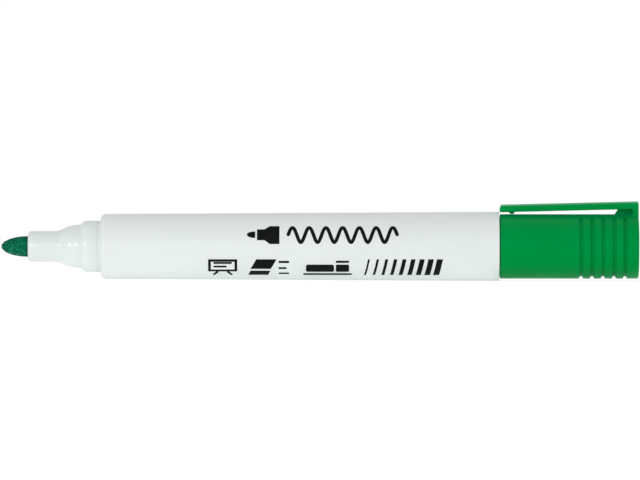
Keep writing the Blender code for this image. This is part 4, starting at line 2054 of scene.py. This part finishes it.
@dataclass
class Studio:
    """A pale floor in a white room, two tall softboxes and a long lens."""

    datums: Datums
    lens: float = 494.0
    camera_distance: float = 2.0
    camera_rise: float = 1.46 * MM
    floor_size: float = 12.0
    sweep: StudioSweep = StudioSweep("studio_floor", shade=0.85, glow=0.325, seen_glow=0.45)
    room_light: float = 0.73
    ceiling_shade: float = 0.1
    left_glow: float = 0.02
    softboxes: tuple[Softbox, ...] = (
        Softbox(
            "strip_light", azimuth=-12.4, elevation=9, distance=3.0, width=0.15, height=0.66, power=8.5
        ),
        Softbox(
            "side_light", azimuth=-34, elevation=9, distance=3.0, width=0.17, height=0.6, power=10.5
        ),
    )

    def floor(self) -> None:
        """Lays the floor under the marker."""
        half = self.floor_size / 2
        mesh = bpy.data.meshes.new("studio_floor")
        corners = [(-half, -half, 0), (half, -half, 0), (half, half, 0), (-half, half, 0)]
        mesh.from_pydata(corners, [], [(0, 1, 2, 3)])
        mesh.materials.append(self.sweep.material())
        new_object("studio_floor", mesh)

    def room(self) -> None:
        """Makes the room: white to the eye, and a little brighter low down and to the left."""
        world = bpy.data.worlds.new("studio_room")
        world.use_nodes = True
        bpy.context.scene.world = world
        nodes, links = world.node_tree.nodes, world.node_tree.links
        direction = nodes.new("ShaderNodeTexCoord").outputs["Generated"]
        split = nodes.new("ShaderNodeSeparateXYZ")
        links.new(direction, split.inputs[0])
        total = None
        for axis, swing in (("Z", self.ceiling_shade), ("X", self.left_glow)):
            shade = nodes.new("ShaderNodeMapRange")
            for name, value in zip(("From Min", "From Max", "To Min", "To Max"), (-1, 1, swing, -swing)):
                shade.inputs[name].default_value = value
            links.new(split.outputs[axis], shade.inputs["Value"])
            layer = nodes.new("ShaderNodeMath")
            links.new(shade.outputs["Result"], layer.inputs[0])
            layer.inputs[1].default_value = self.room_light
            if total:
                links.new(total, layer.inputs[1])
            total = layer.outputs["Value"]
        seen = nodes.new("ShaderNodeLightPath").outputs["Is Camera Ray"]
        brightness = nodes.new("ShaderNodeMix")
        links.new(seen, brightness.inputs["Factor"])
        links.new(total, brightness.inputs[2])
        brightness.inputs[3].default_value = 1.0
        links.new(brightness.outputs[0], nodes["Background"].inputs["Strength"])
        nodes["Background"].inputs["Color"].default_value = (1, 1, 1, 1)

    def camera(self) -> None:
        """Sets the camera square on to the marker's side, a long way off."""
        data = bpy.data.cameras.new("studio_camera")
        data.lens = self.lens
        data.clip_end = 50
        made = bpy.data.objects.new("studio_camera", data)
        made.location = (0, -self.camera_distance, self.datums.axis_height + self.camera_rise)
        made.rotation_euler = (math.pi / 2, 0, 0)
        bpy.context.scene.collection.objects.link(made)
        bpy.context.scene.camera = made

    def build(self) -> None:
        """Sets the studio up round the marker."""
        self.camera()
        self.floor()
        self.room()
        target = Vector((0, 0, self.datums.axis_height))
        for softbox in self.softboxes:
            softbox.place(target)
        bpy.context.scene.view_settings.view_transform = "Standard"


def main() -> None:
    """Builds the studio and the marker, piece by piece."""
    logging.basicConfig(level=logging.INFO, format="%(name)s: %(message)s")
    datums = Datums.from_frame()
    Studio(datums).build()
    shop = Workshop(datums, Paintbox(), TurnedBody(datums.axis_height), RingOfItems(datums.axis_height))
    FeltNib(shop).build()
    NibHolder(shop).build()
    Barrel(shop).build()
    EndPlug(shop).build()
    InkStore(shop).dress()
    CapShell(shop).build()
    PocketClip(shop).build()
    CapLiner(shop).build()


if __name__ == "__main__":
    main()
